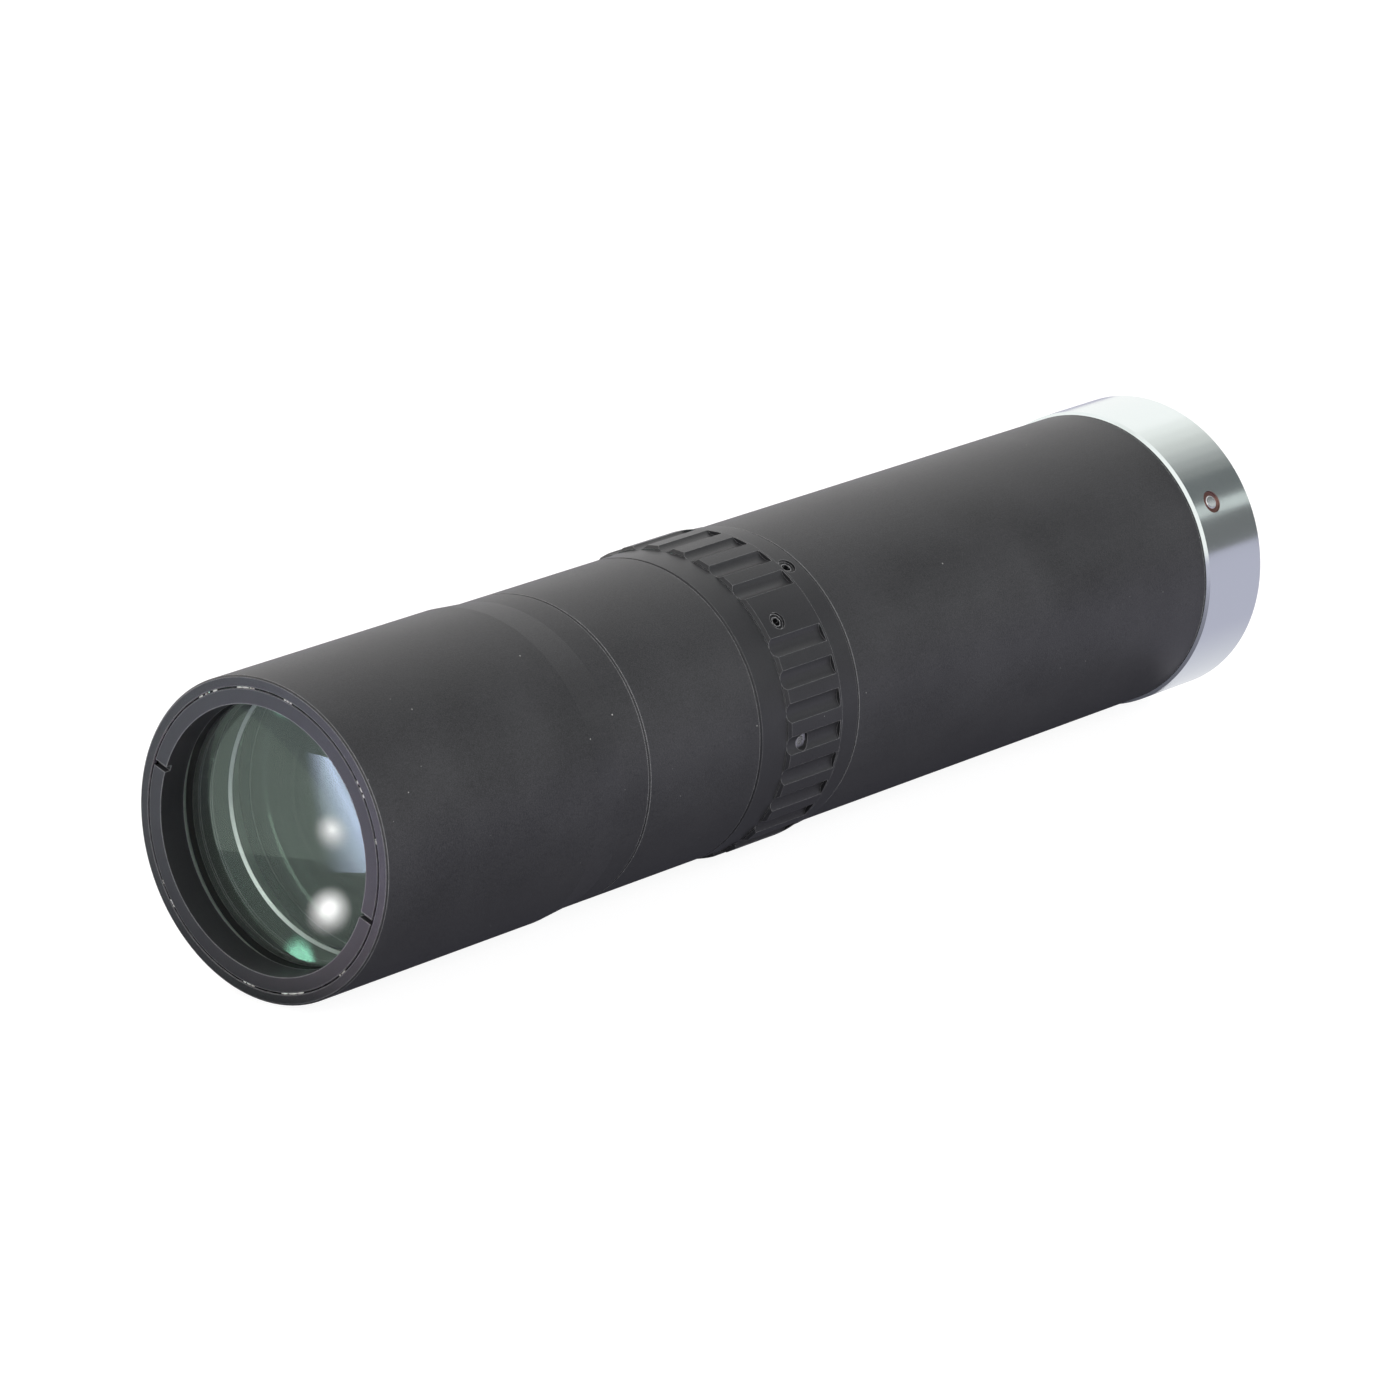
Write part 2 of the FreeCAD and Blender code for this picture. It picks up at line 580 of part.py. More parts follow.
def core_tube():
    """The inner tube that joins the barrels, holds the iris and guides the aperture ring."""
    body = turned("core_tube", [
        (TUBE_FRONT, TUBE_BORE),
        (TUBE_FRONT, TUBE),
        (TUBE_END, TUBE),
        (TUBE_END, TUBE_STOP),
        (BASE_PLATE_BACK, TUBE_STOP),
        (BASE_PLATE_BACK, TUBE_BORE),
    ])
    half_slot = cell("dog_point_radius") + cell("screwed_clearance") * 2
    first = float(sheet.get("drive_screw_angle"))
    last = first - float(sheet.get("ring_turn_angle"))
    for name, angle in (("open_end", first), ("closed_end", last)):
        radial_holes(body, f"slot_{name}", DRIVE_STATION, angle, half_slot, BEYOND,
                     count("screws_round"))
    sketch = new_sketch(body, "slot_section", "XZ_Plane", turn=90.0 - first, axis=Vector(1, 0, 0))
    draw_outline(sketch, ring_outline(
        DRIVE_STATION - half_slot, DRIVE_STATION + half_slot, TUBE_STOP, BEYOND), {})
    slot = body.newObject("PartDesign::Groove", "drive_slot")
    slot.Profile = sketch
    slot.ReferenceAxis = (sketch, ["H_Axis"])
    bind(slot, "Angle", cell("ring_turn_angle"))
    sketch.Visibility = False
    pattern(body, slot, count("screws_round"), 360)
    return hand_in(body, "core_tube")


def knurl(body):
    """Groups of shallow rounded grooves, open in front, with a plain land between the groups."""
    pitches = count("knurl_pitches")
    blanks = count("knurl_blanks")
    grooves = pitches // blanks - 1
    pitch = 360.0 / pitches
    cutter = cell("knurl_cutter_radius")
    centre = RING_CREST - cell("knurl_groove_depth") + cutter
    length = cell("ring_land_length") - cell("knurl_end_margin")
    front = MIDDLE_END + cell("ring_shoulder_length")
    first_blank = float(sheet.get("blank_land_angle"))
    for group in range(blanks):
        angle = first_blank + pitch + group * 360.0 / blanks
        sketch = new_sketch(body, f"knurl_circle_{group + 1}", "YZ_Plane", front, 90.0 - angle)
        circle = Part.Circle(Vector(0, centre.number, 0), Vector(0, 0, 1), cutter.number)
        geometry = sketch.addGeometry(circle, False)
        index = sketch.addConstraint(Sketcher.Constraint("Radius", geometry, cutter.number))
        bind(sketch, f"Constraints[{index}]", cutter)
        pin_point(sketch, geometry, 3, ORIGIN, centre)
        groove = pocket(body, sketch, f"knurl_groove_{group + 1}", length)
        polar = pattern(body, groove, grooves, (grooves - 1) * pitch)
        polar.Reversed = True


def aperture_ring():
    """The ring that the user turns: plain shoulder, knurled lands and a plain rear band."""
    chamfer = cell("edge_chamfer")
    front = MIDDLE_END + cell("end_play")
    back = RING_END - cell("end_play")
    land_front = MIDDLE_END + cell("ring_shoulder_length")
    land_back = land_front + cell("ring_land_length")
    body = turned("aperture_ring", [
        (front, RING_BORE),
        (front, BARREL - chamfer),
        (front + chamfer, BARREL),
        (land_front, BARREL),
        (land_front, RING_CREST - cell("ring_land_chamfer")),
        (land_front + cell("ring_land_chamfer"), RING_CREST),
        (land_back, RING_CREST),
        (land_back, RING_BAND),
        (back - chamfer, RING_BAND),
        (back, RING_BAND - chamfer),
        (back, RING_BORE),
    ])
    knurl(body)
    rows = count("screws_round")
    for alias, station, screws in (("drive_screw", DRIVE_STATION, rows),
                                   ("lock_screw", LOCK_STATION, rows),
                                   ("iris_lock", IRIS_LOCK_STATION, 1)):
        radial_holes(body, f"{alias}_hole", station, float(sheet.get(f"{alias}_angle")),
                     SMALL_HOLE, BEYOND, screws)
    return hand_in(body, "aperture_ring")


def ring_screws():
    """The set screws of the aperture ring: dog points drive the iris, plain ones lock the ring."""
    rows = count("screws_round")
    radius = cell("small_screw_radius")
    socket = (cell("small_socket_radius"), cell("socket_depth"))
    land_head = RING_CREST - cell("screw_recess")
    band_head = RING_BAND - cell("screw_recess")
    groove_head = land_head - cell("knurl_groove_depth")
    foot = RING_BORE + cell("edge_chamfer")
    dog_end = CAM_RING - cell("dog_engagement")
    dog = cell("dog_point_radius")
    flat = radius - cell("edge_chamfer")
    screw_ring("iris_drive_screws", DRIVE_STATION, cell("drive_screw_angle"), rows,
               land_head, (radius, land_head - foot), socket, (dog, dog, foot - dog_end))
    tip = cell("edge_chamfer") - cell("screwed_clearance")
    for label, alias, station, head, number in (
            ("ring_lock_screws", "lock_screw", LOCK_STATION, band_head, rows),
            ("iris_lock_screw", "iris_lock", IRIS_LOCK_STATION, groove_head, 1)):
        screw_ring(label, station, cell(f"{alias}_angle"), number, head,
                   (radius, head - foot), socket, (radius, flat, tip))


def rear_barrel():
    """The long shell behind the ring, with the rear group's bore and the mount's spigot."""
    chamfer = cell("edge_chamfer")
    vee = cell("vee_groove_depth")
    baffle_back = TUBE_END + cell("baffle_thickness")
    body = turned("rear_barrel", [
        (RING_END, TUBE_SEAT),
        (RING_END, BARREL - chamfer),
        (RING_END + chamfer, BARREL),
        (REAR_END - chamfer, BARREL),
        (REAR_END, BARREL - chamfer),
        (REAR_END, REAR_SPIGOT),
        (MOUNT_SCREW_STATION - vee, REAR_SPIGOT),
        (MOUNT_SCREW_STATION, REAR_SPIGOT - vee),
        (MOUNT_SCREW_STATION + vee, REAR_SPIGOT),
        (SPIGOT_END - chamfer, REAR_SPIGOT),
        (SPIGOT_END, REAR_SPIGOT - chamfer),
        (SPIGOT_END, REAR_GLASS_SEAT),
        (REAR_SEAT, REAR_GLASS_SEAT),
        (REAR_SEAT, LIGHT_BORE),
        (baffle_back, LIGHT_BORE),
        (baffle_back, TUBE_SEAT),
    ])
    return hand_in(body, "rear_barrel")


def rear_group():
    """The front group's mirror image at a smaller diameter, with its own spacer and ring."""
    edge = REAR_GLASS
    clear = REAR_CLEAR
    inner_curve = cell("doublet_inner_curve_radius")
    lens("rear_flint_lens", REAR_SEAT, REAR_CROWN_FRONT, edge,
         (clear, cell("flint_back_curve_radius"), 1), (edge, inner_curve, -1))
    lens("rear_crown_lens", REAR_CROWN_FRONT + cell("cement_thickness"), REAR_CROWN_BACK, edge,
         (edge, inner_curve, 1), (clear, cell("crown_front_curve_radius"), 1))
    spacer = grooved_spacer(REAR_CROWN_BACK, REAR_LENS_FRONT, clear, edge,
                            count("rear_spacer_grooves"), cell("rear_groove_pitch"))
    hand_in(turned("rear_spacer", spacer), "rear_spacer")
    lens("rear_lens", REAR_LENS_FRONT, REAR_LENS_BACK, edge,
         (clear, cell("front_lens_back_curve_radius"), 1),
         (clear, cell("front_lens_front_curve_radius"), 1))
    ring = turned("rear_retaining_ring", ring_outline(
        REAR_LENS_BACK, REAR_RETAINER_BACK, edge - cell("rear_retainer_width"), edge))
    spanner_slot(ring, "rear_spanner_slot", REAR_RETAINER_BACK, False)
    hand_in(ring, "rear_retaining_ring")


def mount_ring():
    """The bright ring on the camera: it turns on the rear spigot and carries the camera thread."""
    chamfer = cell("mount_chamfer")
    thread = cell("camera_thread_radius")
    thread_end = FLANGE + cell("camera_thread_length")
    floor = SPIGOT_END + cell("spigot_end_gap")
    front = REAR_END + cell("end_play")
    body = turned("mount_ring", [
        (front, MOUNT_BORE),
        (front, MOUNT - chamfer),
        (front + chamfer, MOUNT),
        (FLANGE - chamfer, MOUNT),
        (FLANGE, MOUNT - chamfer),
        (FLANGE, thread),
        (thread_end - chamfer, thread),
        (thread_end, thread - chamfer),
        (thread_end, CAMERA_PORT),
        (floor, CAMERA_PORT),
        (floor, MOUNT_BORE),
    ])
    radial_holes(body, "mount_screw_hole", MOUNT_SCREW_STATION,
                 float(sheet.get("mount_screw_angle")), MOUNT_HOLE, BEYOND,
                 count("screws_round"))
    return hand_in(body, "mount_ring")


def mount_set_screws():
    """Cone point screws of the mount ring, whose points run in the spigot's vee groove."""
    radius = cell("mount_screw_radius")
    head = MOUNT - cell("screw_recess")
    foot = MOUNT_BORE + cell("end_play")
    flat = cell("mount_screw_flat")
    cone_end = REAR_SPIGOT - cell("vee_groove_depth") / 2
    cone_length = foot - cone_end
    screw_ring("mount_set_screws", MOUNT_SCREW_STATION, cell("mount_screw_angle"),
               count("screws_round"), head, (radius, head - foot),
               (cell("mount_socket_radius"), cell("socket_depth")),
               (flat + cone_length, flat, cone_length))


def iris_retaining_ring():
    """The threaded ring that keeps the cam ring in the core tube."""
    front = IRIS_RETAINER_BACK - cell("iris_retainer_length")
    body = turned("iris_retaining_ring", ring_outline(
        front, IRIS_RETAINER_BACK, IRIS_SEAT - cell("iris_retainer_width"), IRIS_SEAT))
    spanner_slot(body, "iris_spanner_slot", front, True)
    return hand_in(body, "iris_retaining_ring")


def drive_pin_path():
    """Centres of a blade's drive pin in the cam ring's own frame, from open to closed.

    The blade turns in step with the ring, so each point is the pin's place in the lens, turned
    back by as much as the ring has turned.
    """
    circle = PIN_CIRCLE.number
    pin_angle = math.radians(float(sheet.get("drive_pin_angle")))
    blade_turn = math.radians(float(sheet.get("blade_turn_angle")))
    ring_turn = math.radians(float(sheet.get("ring_turn_angle")))
    pivot = Vector(circle, 0, 0)
    arm = Vector(circle * math.cos(pin_angle), circle * math.sin(pin_angle), 0) - pivot
    steps = 12
    path = []
    for step in range(-1, steps + 2):
        share = step / steps
        turned_arm = Rotation(Vector(0, 0, 1), math.degrees(blade_turn * share)).multVec(arm)
        back = Rotation(Vector(0, 0, 1), -math.degrees(ring_turn * share))
        path.append(back.multVec(pivot + turned_arm))
    return path


def cam_slot_cutter():
    """A prism along the drive pin's path, round at both ends, for one slot of the cam ring."""
    path = drive_pin_path()
    half = float(sheet.get("pin_radius")) + float(sheet.get("pin_clearance"))
    left, right = [], []
    for before, here, after in zip(path, path[1:], path[2:]):
        along = (after - before).normalize()
        aside = Vector(-along.y, along.x, 0) * half
        left.append(here + aside)
        right.append(here - aside)
    left_curve = Part.BSplineCurve()
    left_curve.interpolate(left)
    right_curve = Part.BSplineCurve()
    right_curve.interpolate(list(reversed(right)))
    far_tip = path[-2] + (path[-1] - path[-2]).normalize() * half
    near_tip = path[1] + (path[0] - path[1]).normalize() * half
    edges = [left_curve.toShape(), Part.Arc(left[-1], far_tip, right[-1]).toShape(),
             right_curve.toShape(), Part.Arc(right[0], near_tip, left[0]).toShape()]
    face = Part.Face(Part.Wire(edges))
    thickness = CAM_BACK.number - CAM_PLATE_FRONT.number
    margin = BLADE_PITCH.number
    prism = face.extrude(Vector(0, 0, thickness + 2 * margin))
    prism.translate(Vector(0, 0, CAM_PLATE_FRONT.number - margin))
    return prism


# A blade is drawn flat with the optical axis as its Z; this turn lays that axis along +X.
TO_OPTICAL_AXIS = Rotation(Vector(1, 1, 1), 120)


def blade_rotation(index):
    """The turn that takes a flat blade drawing to blade number index."""
    step = 360.0 / count("blade_count")
    return Rotation(Vector(1, 0, 0), index * step) * TO_OPTICAL_AXIS


def iris_cam_ring():
    """The ring that drives the blades: a rim with screw holes and a plate with spiral slots."""
    rim_bore = CAM_RING - cell("cam_rim_wall")
    body = turned("cam_ring_blank", [
        (CAM_FRONT, rim_bore),
        (CAM_FRONT, CAM_RING),
        (CAM_BACK, CAM_RING),
        (CAM_BACK, IRIS_PLATE_BORE),
        (CAM_PLATE_FRONT, IRIS_PLATE_BORE),
        (CAM_PLATE_FRONT, rim_bore),
    ])
    hole = cell("dog_point_radius") + cell("screwed_clearance")
    radial_holes(body, "drive_dog_hole", DRIVE_STATION,
                 float(sheet.get("drive_screw_angle")), hole, TUBE, count("screws_round"))
    cutter = cam_slot_cutter()
    cutters = []
    for index in range(count("blade_count")):
        copy = cutter.copy()
        turn = FreeCAD.Placement(Vector(0, 0, 0), blade_rotation(index))
        copy.Placement = turn * cutter.Placement
        cutters.append(copy)
    slots = doc.addObject("Part::Feature", "cam_slots")
    slots.Shape = Part.Compound(cutters)
    ring = doc.addObject("Part::Cut", "iris_cam_ring")
    ring.Base = body
    ring.Tool = slots
    return hand_in(ring, "iris_cam_ring")


def iris_base_plate():
    """The fixed plate behind the blades, with one pivot hole for each."""
    body = turned("iris_base_plate", ring_outline(
        BASE_PLATE_FRONT, BASE_PLATE_BACK, IRIS_PLATE_BORE, IRIS_SEAT))
    radius = cell("pin_radius") + cell("pin_clearance")
    centre = PIN_CIRCLE
    sketch = new_sketch(body, "pivot_hole_circle", "YZ_Plane", BASE_PLATE_FRONT)
    circle = Part.Circle(Vector(centre.number, 0, 0), Vector(0, 0, 1), radius.number)
    geometry = sketch.addGeometry(circle, False)
    index = sketch.addConstraint(Sketcher.Constraint("Radius", geometry, radius.number))
    bind(sketch, f"Constraints[{index}]", radius)
    pin_point(sketch, geometry, 3, centre, ORIGIN)
    hole = pocket(body, sketch, "pivot_hole", cell("base_plate_thickness"))
    pattern(body, hole, count("blade_count"), 360)
    return hand_in(body, "iris_base_plate")


def sector(name, inner, outer, span, start, thickness):
    """A flat ring sector drawn round the Z axis, from the angle start over the angle span."""
    disc = doc.addObject("Part::Cylinder", f"{name}_disc")
    bind(disc, "Radius", outer)
    bind(disc, "Height", thickness)
    bind(disc, "Angle", span)
    disc.Placement = FreeCAD.Placement(Vector(0, 0, 0), Rotation(Vector(0, 0, 1), start.number))
    middle = doc.addObject("Part::Cylinder", f"{name}_middle")
    bind(middle, "Radius", inner)
    bind(middle, "Height", thickness)
    flat = doc.addObject("Part::Cut", f"{name}_flat")
    flat.Base = disc
    flat.Tool = middle
    return flat


def upright_pin(name, radius, across, aside, bottom, height):
    pin = doc.addObject("Part::Cylinder", name)
    bind(pin, "Radius", radius)
    bind(pin, "Height", height)
    bind(pin, "Placement.Base.x", across)
    bind(pin, "Placement.Base.y", aside)
    bind(pin, "Placement.Base.z", bottom)
    return pin


def iris_blade(index):
    """One blade: a thin crescent with a heel, a pivot pin behind and a drive pin in front."""
    label = f"iris_blade_{index + 1}"
    thickness = cell("blade_thickness")
    span, margin = cell("blade_span_angle"), cell("heel_margin_angle")
    reach = cell("drive_pin_angle")
    level = CAM_BACK + BLADE_PITCH * (index + 1) - thickness / 2
    crescent = sector(f"{label}_crescent", BLADE_INNER, BLADE_OUTER, span + margin, -margin,
                      thickness)
    heel = sector(f"{label}_heel", BLADE_INNER, PIN_CIRCLE + cell("heel_height"),
                  reach + margin * 2, -margin, thickness)
    middle = (BLADE_INNER + BLADE_OUTER) / 2
    tip = upright_pin(f"{label}_tip", cell("blade_width") / 2, middle * span.cosine(),
                      middle * span.sine(), ORIGIN, thickness)
    drive_foot = CAM_PLATE_FRONT + BLADE_PITCH - level
    drive_pin = upright_pin(f"{label}_drive_pin", cell("pin_radius"),
                            PIN_CIRCLE * reach.cosine(), PIN_CIRCLE * reach.sine(), drive_foot,
                            -drive_foot + thickness)
    pivot_end = BASE_PLATE_BACK - BLADE_PITCH - level
    pivot = upright_pin(f"{label}_pivot", cell("pin_radius"), PIN_CIRCLE, ORIGIN, ORIGIN,
                        pivot_end)
    blade = doc.addObject("Part::MultiFuse", label)
    blade.Shapes = [crescent, heel, tip, drive_pin, pivot]
    blade.Placement = FreeCAD.Placement(Vector(0, 0, 0), blade_rotation(index))
    blade.Label = label
    bind(blade, "Placement.Base.x", level - FLANGE)
    pieces.append(blade)


def write_parts():
    """Recompute, refuse anything broken, and write one file for each piece."""
    doc.recompute()
    broken = [item.Label for item in doc.Objects
              if "Invalid" in item.State or "Error" in item.State]
    if broken:
        raise RuntimeError("failed objects: " + ", ".join(broken))
    os.makedirs("parts", exist_ok=True)
    for piece in pieces:
        shape = piece.Shape
        if shape.isNull() or not shape.isValid():
            raise RuntimeError("bad shape: " + piece.Label)
        shape.exportStep(os.path.join("parts", piece.Label + ".step"))
        print(piece.Label, len(shape.Solids), round(shape.Volume, 2))


front_barrel()
front_retaining_ring()
front_group()
baffles()
middle_barrel()
core_tube()
aperture_ring()
ring_screws()
rear_barrel()
rear_group()
mount_ring()
mount_set_screws()
iris_retaining_ring()
iris_cam_ring()
iris_base_plate()
for blade_index in range(count("blade_count")):
    iris_blade(blade_index)
write_parts()
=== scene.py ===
"""Dresses the telecentric lens: anodised barrels, coated glass, bright mount and studio."""

import json
import math

import bmesh
import bpy
from bpy.props import FloatProperty, FloatVectorProperty, IntProperty, PointerProperty
from mathutils import Matrix, Vector


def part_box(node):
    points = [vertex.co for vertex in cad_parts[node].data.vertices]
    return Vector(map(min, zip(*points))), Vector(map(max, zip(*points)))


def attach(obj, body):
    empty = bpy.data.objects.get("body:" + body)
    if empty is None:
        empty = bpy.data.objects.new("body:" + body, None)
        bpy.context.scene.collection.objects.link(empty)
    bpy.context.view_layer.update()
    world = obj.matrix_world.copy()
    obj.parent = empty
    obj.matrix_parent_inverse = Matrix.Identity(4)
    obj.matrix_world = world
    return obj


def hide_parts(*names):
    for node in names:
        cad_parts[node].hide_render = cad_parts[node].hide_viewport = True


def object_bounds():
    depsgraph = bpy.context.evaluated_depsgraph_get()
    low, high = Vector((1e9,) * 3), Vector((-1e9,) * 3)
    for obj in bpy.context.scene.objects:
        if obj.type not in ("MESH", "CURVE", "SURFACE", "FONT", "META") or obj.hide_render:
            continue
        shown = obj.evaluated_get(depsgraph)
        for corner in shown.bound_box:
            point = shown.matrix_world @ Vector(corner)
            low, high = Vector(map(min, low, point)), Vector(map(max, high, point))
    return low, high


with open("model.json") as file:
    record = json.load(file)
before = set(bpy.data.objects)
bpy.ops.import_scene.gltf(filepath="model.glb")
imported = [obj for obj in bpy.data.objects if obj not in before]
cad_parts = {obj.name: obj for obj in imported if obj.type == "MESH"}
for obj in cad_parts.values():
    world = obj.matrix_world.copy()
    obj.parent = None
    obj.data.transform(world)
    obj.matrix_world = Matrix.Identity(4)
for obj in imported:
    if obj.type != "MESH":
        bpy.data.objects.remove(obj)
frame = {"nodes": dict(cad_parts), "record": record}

bl_info = {
    "name": "Telecentric Lens Finish",
    "version": (1, 0, 0),
    "blender": (4, 5, 0),
    "location": "View3D > Sidebar > Lens",
    "description": "Finishes, coated glass, adhesive, camera thread and studio for the lens",
    "category": "Object",
}

CAD_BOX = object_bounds()
MIDDLE = (CAD_BOX[0] + CAD_BOX[1]) / 2
FLOOR_LEVEL = CAD_BOX[0].z

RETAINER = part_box("front_retaining_ring")
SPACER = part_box("front_spacer")
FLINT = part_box("front_flint_lens")
REAR_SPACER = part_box("rear_spacer")
REAR_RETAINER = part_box("rear_retaining_ring")
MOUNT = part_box("mount_ring")
GLASS_RADIUS = SPACER[1].z
REAR_GLASS_RADIUS = REAR_SPACER[1].z
RETAINER_RADIUS = RETAINER[1].z
CROWN_FRONT = SPACER[1].x
FIRST_LENS_FRONT = RETAINER[1].x
FIRST_LENS_BACK = SPACER[0].x

COMPLETE_TURN = 2 * math.pi
ROUND_STEPS = 256
ARC_STEPS = 24
MERGE_DISTANCE = 0.000002

WHITE = (1.0, 1.0, 1.0)
WARM_WHITE = (1.0, 0.91, 0.82)
FLOOR_COLOUR = (0.20, 0.20, 0.205)
FLOOR_GLOW = 0.90
FLOOR_SIZE = 6.0
DUST_COLOUR = (0.35, 0.35, 0.34)
CAMERA_PLACE = (-1.04619, -0.77925, 0.36371)
CAMERA_ELEVATION = 16.83
CAMERA_AZIMUTH = -49.80

# Name, place from the middle of the lens, width and colour of each lamp.
LAMPS = (
    ("key", (0.25, -0.90, 0.25), 1.0, WHITE),
    ("front", (-1.0, -0.25, 0.35), 0.8, WHITE),
    ("rim", (0.20, 0.95, 0.45), 1.0, WARM_WHITE),
)
# Name, lower and upper angle round the axis in degrees from the near side, and colour.
LONG_CARDS = (
    ("side_card_low", -8, 26, (0.16, 0.165, 0.17)),
    ("side_card_slot", 26, 36, (0.62, 0.66, 0.66)),
    ("side_card_middle", 36, 58, (0.15, 0.16, 0.165)),
    ("side_card_upper_1", 58, 66, (0.25, 0.26, 0.26)),
    ("side_card_upper_2", 66, 74, (0.36, 0.37, 0.37)),
    ("side_card_upper_3", 74, 82, (0.48, 0.49, 0.49)),
    ("side_card_upper_4", 82, 92, (0.62, 0.63, 0.62)),
    ("side_card_upper_5", 92, 102, (0.76, 0.77, 0.76)),
    ("side_card_upper_6", 102, 112, (0.88, 0.89, 0.88)),
)
# Cards flat above the floor, each a little higher than the one before.
CARD_LIFT = 0.0001
UNDER_SIZE = (3.0, 3.0)
UNDER_COLOUR = (0.48, 0.47, 0.58)
# A dark card of painted shadow under the barrels: reflections show it in place of the lens's own
# shadow on the floor.
PAINTED_SHADOW_COLOUR = (0.045, 0.045, 0.056)
PAINTED_SHADOW_WIDTH = 0.30
PAINTED_SHADOW_MARGIN = 0.06
MOUNT_CARD_SIZE = (0.2, 0.07)
# Name, place on the floor, size, turn in degrees, colour and fade of the cards in front.
FRONT_CARDS = (
    ("front_card", (-1.2285, 0.0900), (1.5, 1.5), 139, (0.95, 0.95, 0.98), None),
    ("front_glow", (-0.3760, 0.0780), (0.220, 0.046), 141, (11.5, 10.6, 17.0), "across"),
    ("far_highlight", (-0.3150, 0.0475), (0.056, 0.018), 147.6, (22, 16.5, 20), "round"),
    ("near_highlight", (-0.2565, 0.0118), (0.030, 0.0135), 151, (34, 26, 31), "round"),
)
MINT_PLACE = (-0.55, 0.290, 0.013)
MINT_SIZE = (0.084, 0.104)
MINT_COLOUR = (26.0, 50.0, 43.0)

# Black ring of painted shade laid in the gap round the front retaining ring: its depth,
# thickness, swing of thickness and steps.
GAP_SHADE_DEPTH = 0.00048
GAP_SHADE_THICKNESS = 0.00036
GAP_SHADE_SWING = 0.00004
GAP_SHADE_STEPS = 181
FLECK_STEPS = 8
FLECK_TAPER = 0.15
# Angle from the near side and arc in degrees, and thickness of each fleck of adhesive. The
# flecks' white is partly painted glints in the thread gap.
ADHESIVE_AND_GLINTS = (
    (31.0, 9.0, 0.00042),
    (11.5, 2.5, 0.00034),
    (117.0, 13.0, 0.00042),
    (97.0, 11.0, 0.00031),
    (76.0, 5.0, 0.00031),
    (-152.1, 3.0, 0.00034),
    (-144.0, 4.0, 0.00034),
    (-98.2, 7.0, 0.00032),
    (-76.0, 14.0, 0.00031),
    (-47.5, 5.0, 0.00033),
)


class BarrelFinish(bpy.types.PropertyGroup):
    """Colours and grain of the anodised parts."""

    barrel_colour: FloatVectorProperty(
        name="Barrel", description="Black anodising of the barrels", subtype="COLOR",
        size=3, min=0, max=1, default=(0.028, 0.028, 0.030))
    ring_colour: FloatVectorProperty(
        name="Aperture ring", description="Black anodising of the aperture ring",
        subtype="COLOR", size=3, min=0, max=1, default=(0.024, 0.024, 0.026))
    retainer_colour: FloatVectorProperty(
        name="Retaining ring", description="Anodising of the turned retaining rings",
        subtype="COLOR", size=3, min=0, max=1, default=(0.030, 0.030, 0.033))
    inside_colour: FloatVectorProperty(
        name="Inside", description="Matt black of the surfaces round the light path",
        subtype="COLOR", size=3, min=0, max=1, default=(0.006, 0.006, 0.0065))
    # Dark anodising made lighter than the barrels and tinted green: painted light and a painted
    # green reflection of the coating, where the spacer is seen through the glass.
    spacer_and_reflection_colour: FloatVectorProperty(
        name="Spacer", description="Paler anodising of the spacer behind the first lens",
        subtype="COLOR", size=3, min=0, max=1, default=(0.032, 0.040, 0.035))
    shine: FloatProperty(
        name="Shine", description="Strength of the reflection on anodising", min=0, max=1,
        default=0.38)
    # Pale colour on the edges: partly bare metal where the anodising is worn, partly a painted
    # highlight along the chamfers.
    worn_and_highlight_edge_colour: FloatVectorProperty(
        name="Worn and highlighted edge", description="Metal that shows where anodising is thin on an edge",
        subtype="COLOR", size=3, min=0, max=1, default=(0.42, 0.42, 0.43))
    grain_size: FloatProperty(
        name="Grain", description="Size of the bead blasted grain", subtype="DISTANCE",
        unit="LENGTH", min=0.00005, max=0.002, default=0.00022)
    edge_radius: FloatProperty(
        name="Edge width", description="Width of the lightened edges", subtype="DISTANCE",
        unit="LENGTH", min=0, max=0.001, default=0.00032)


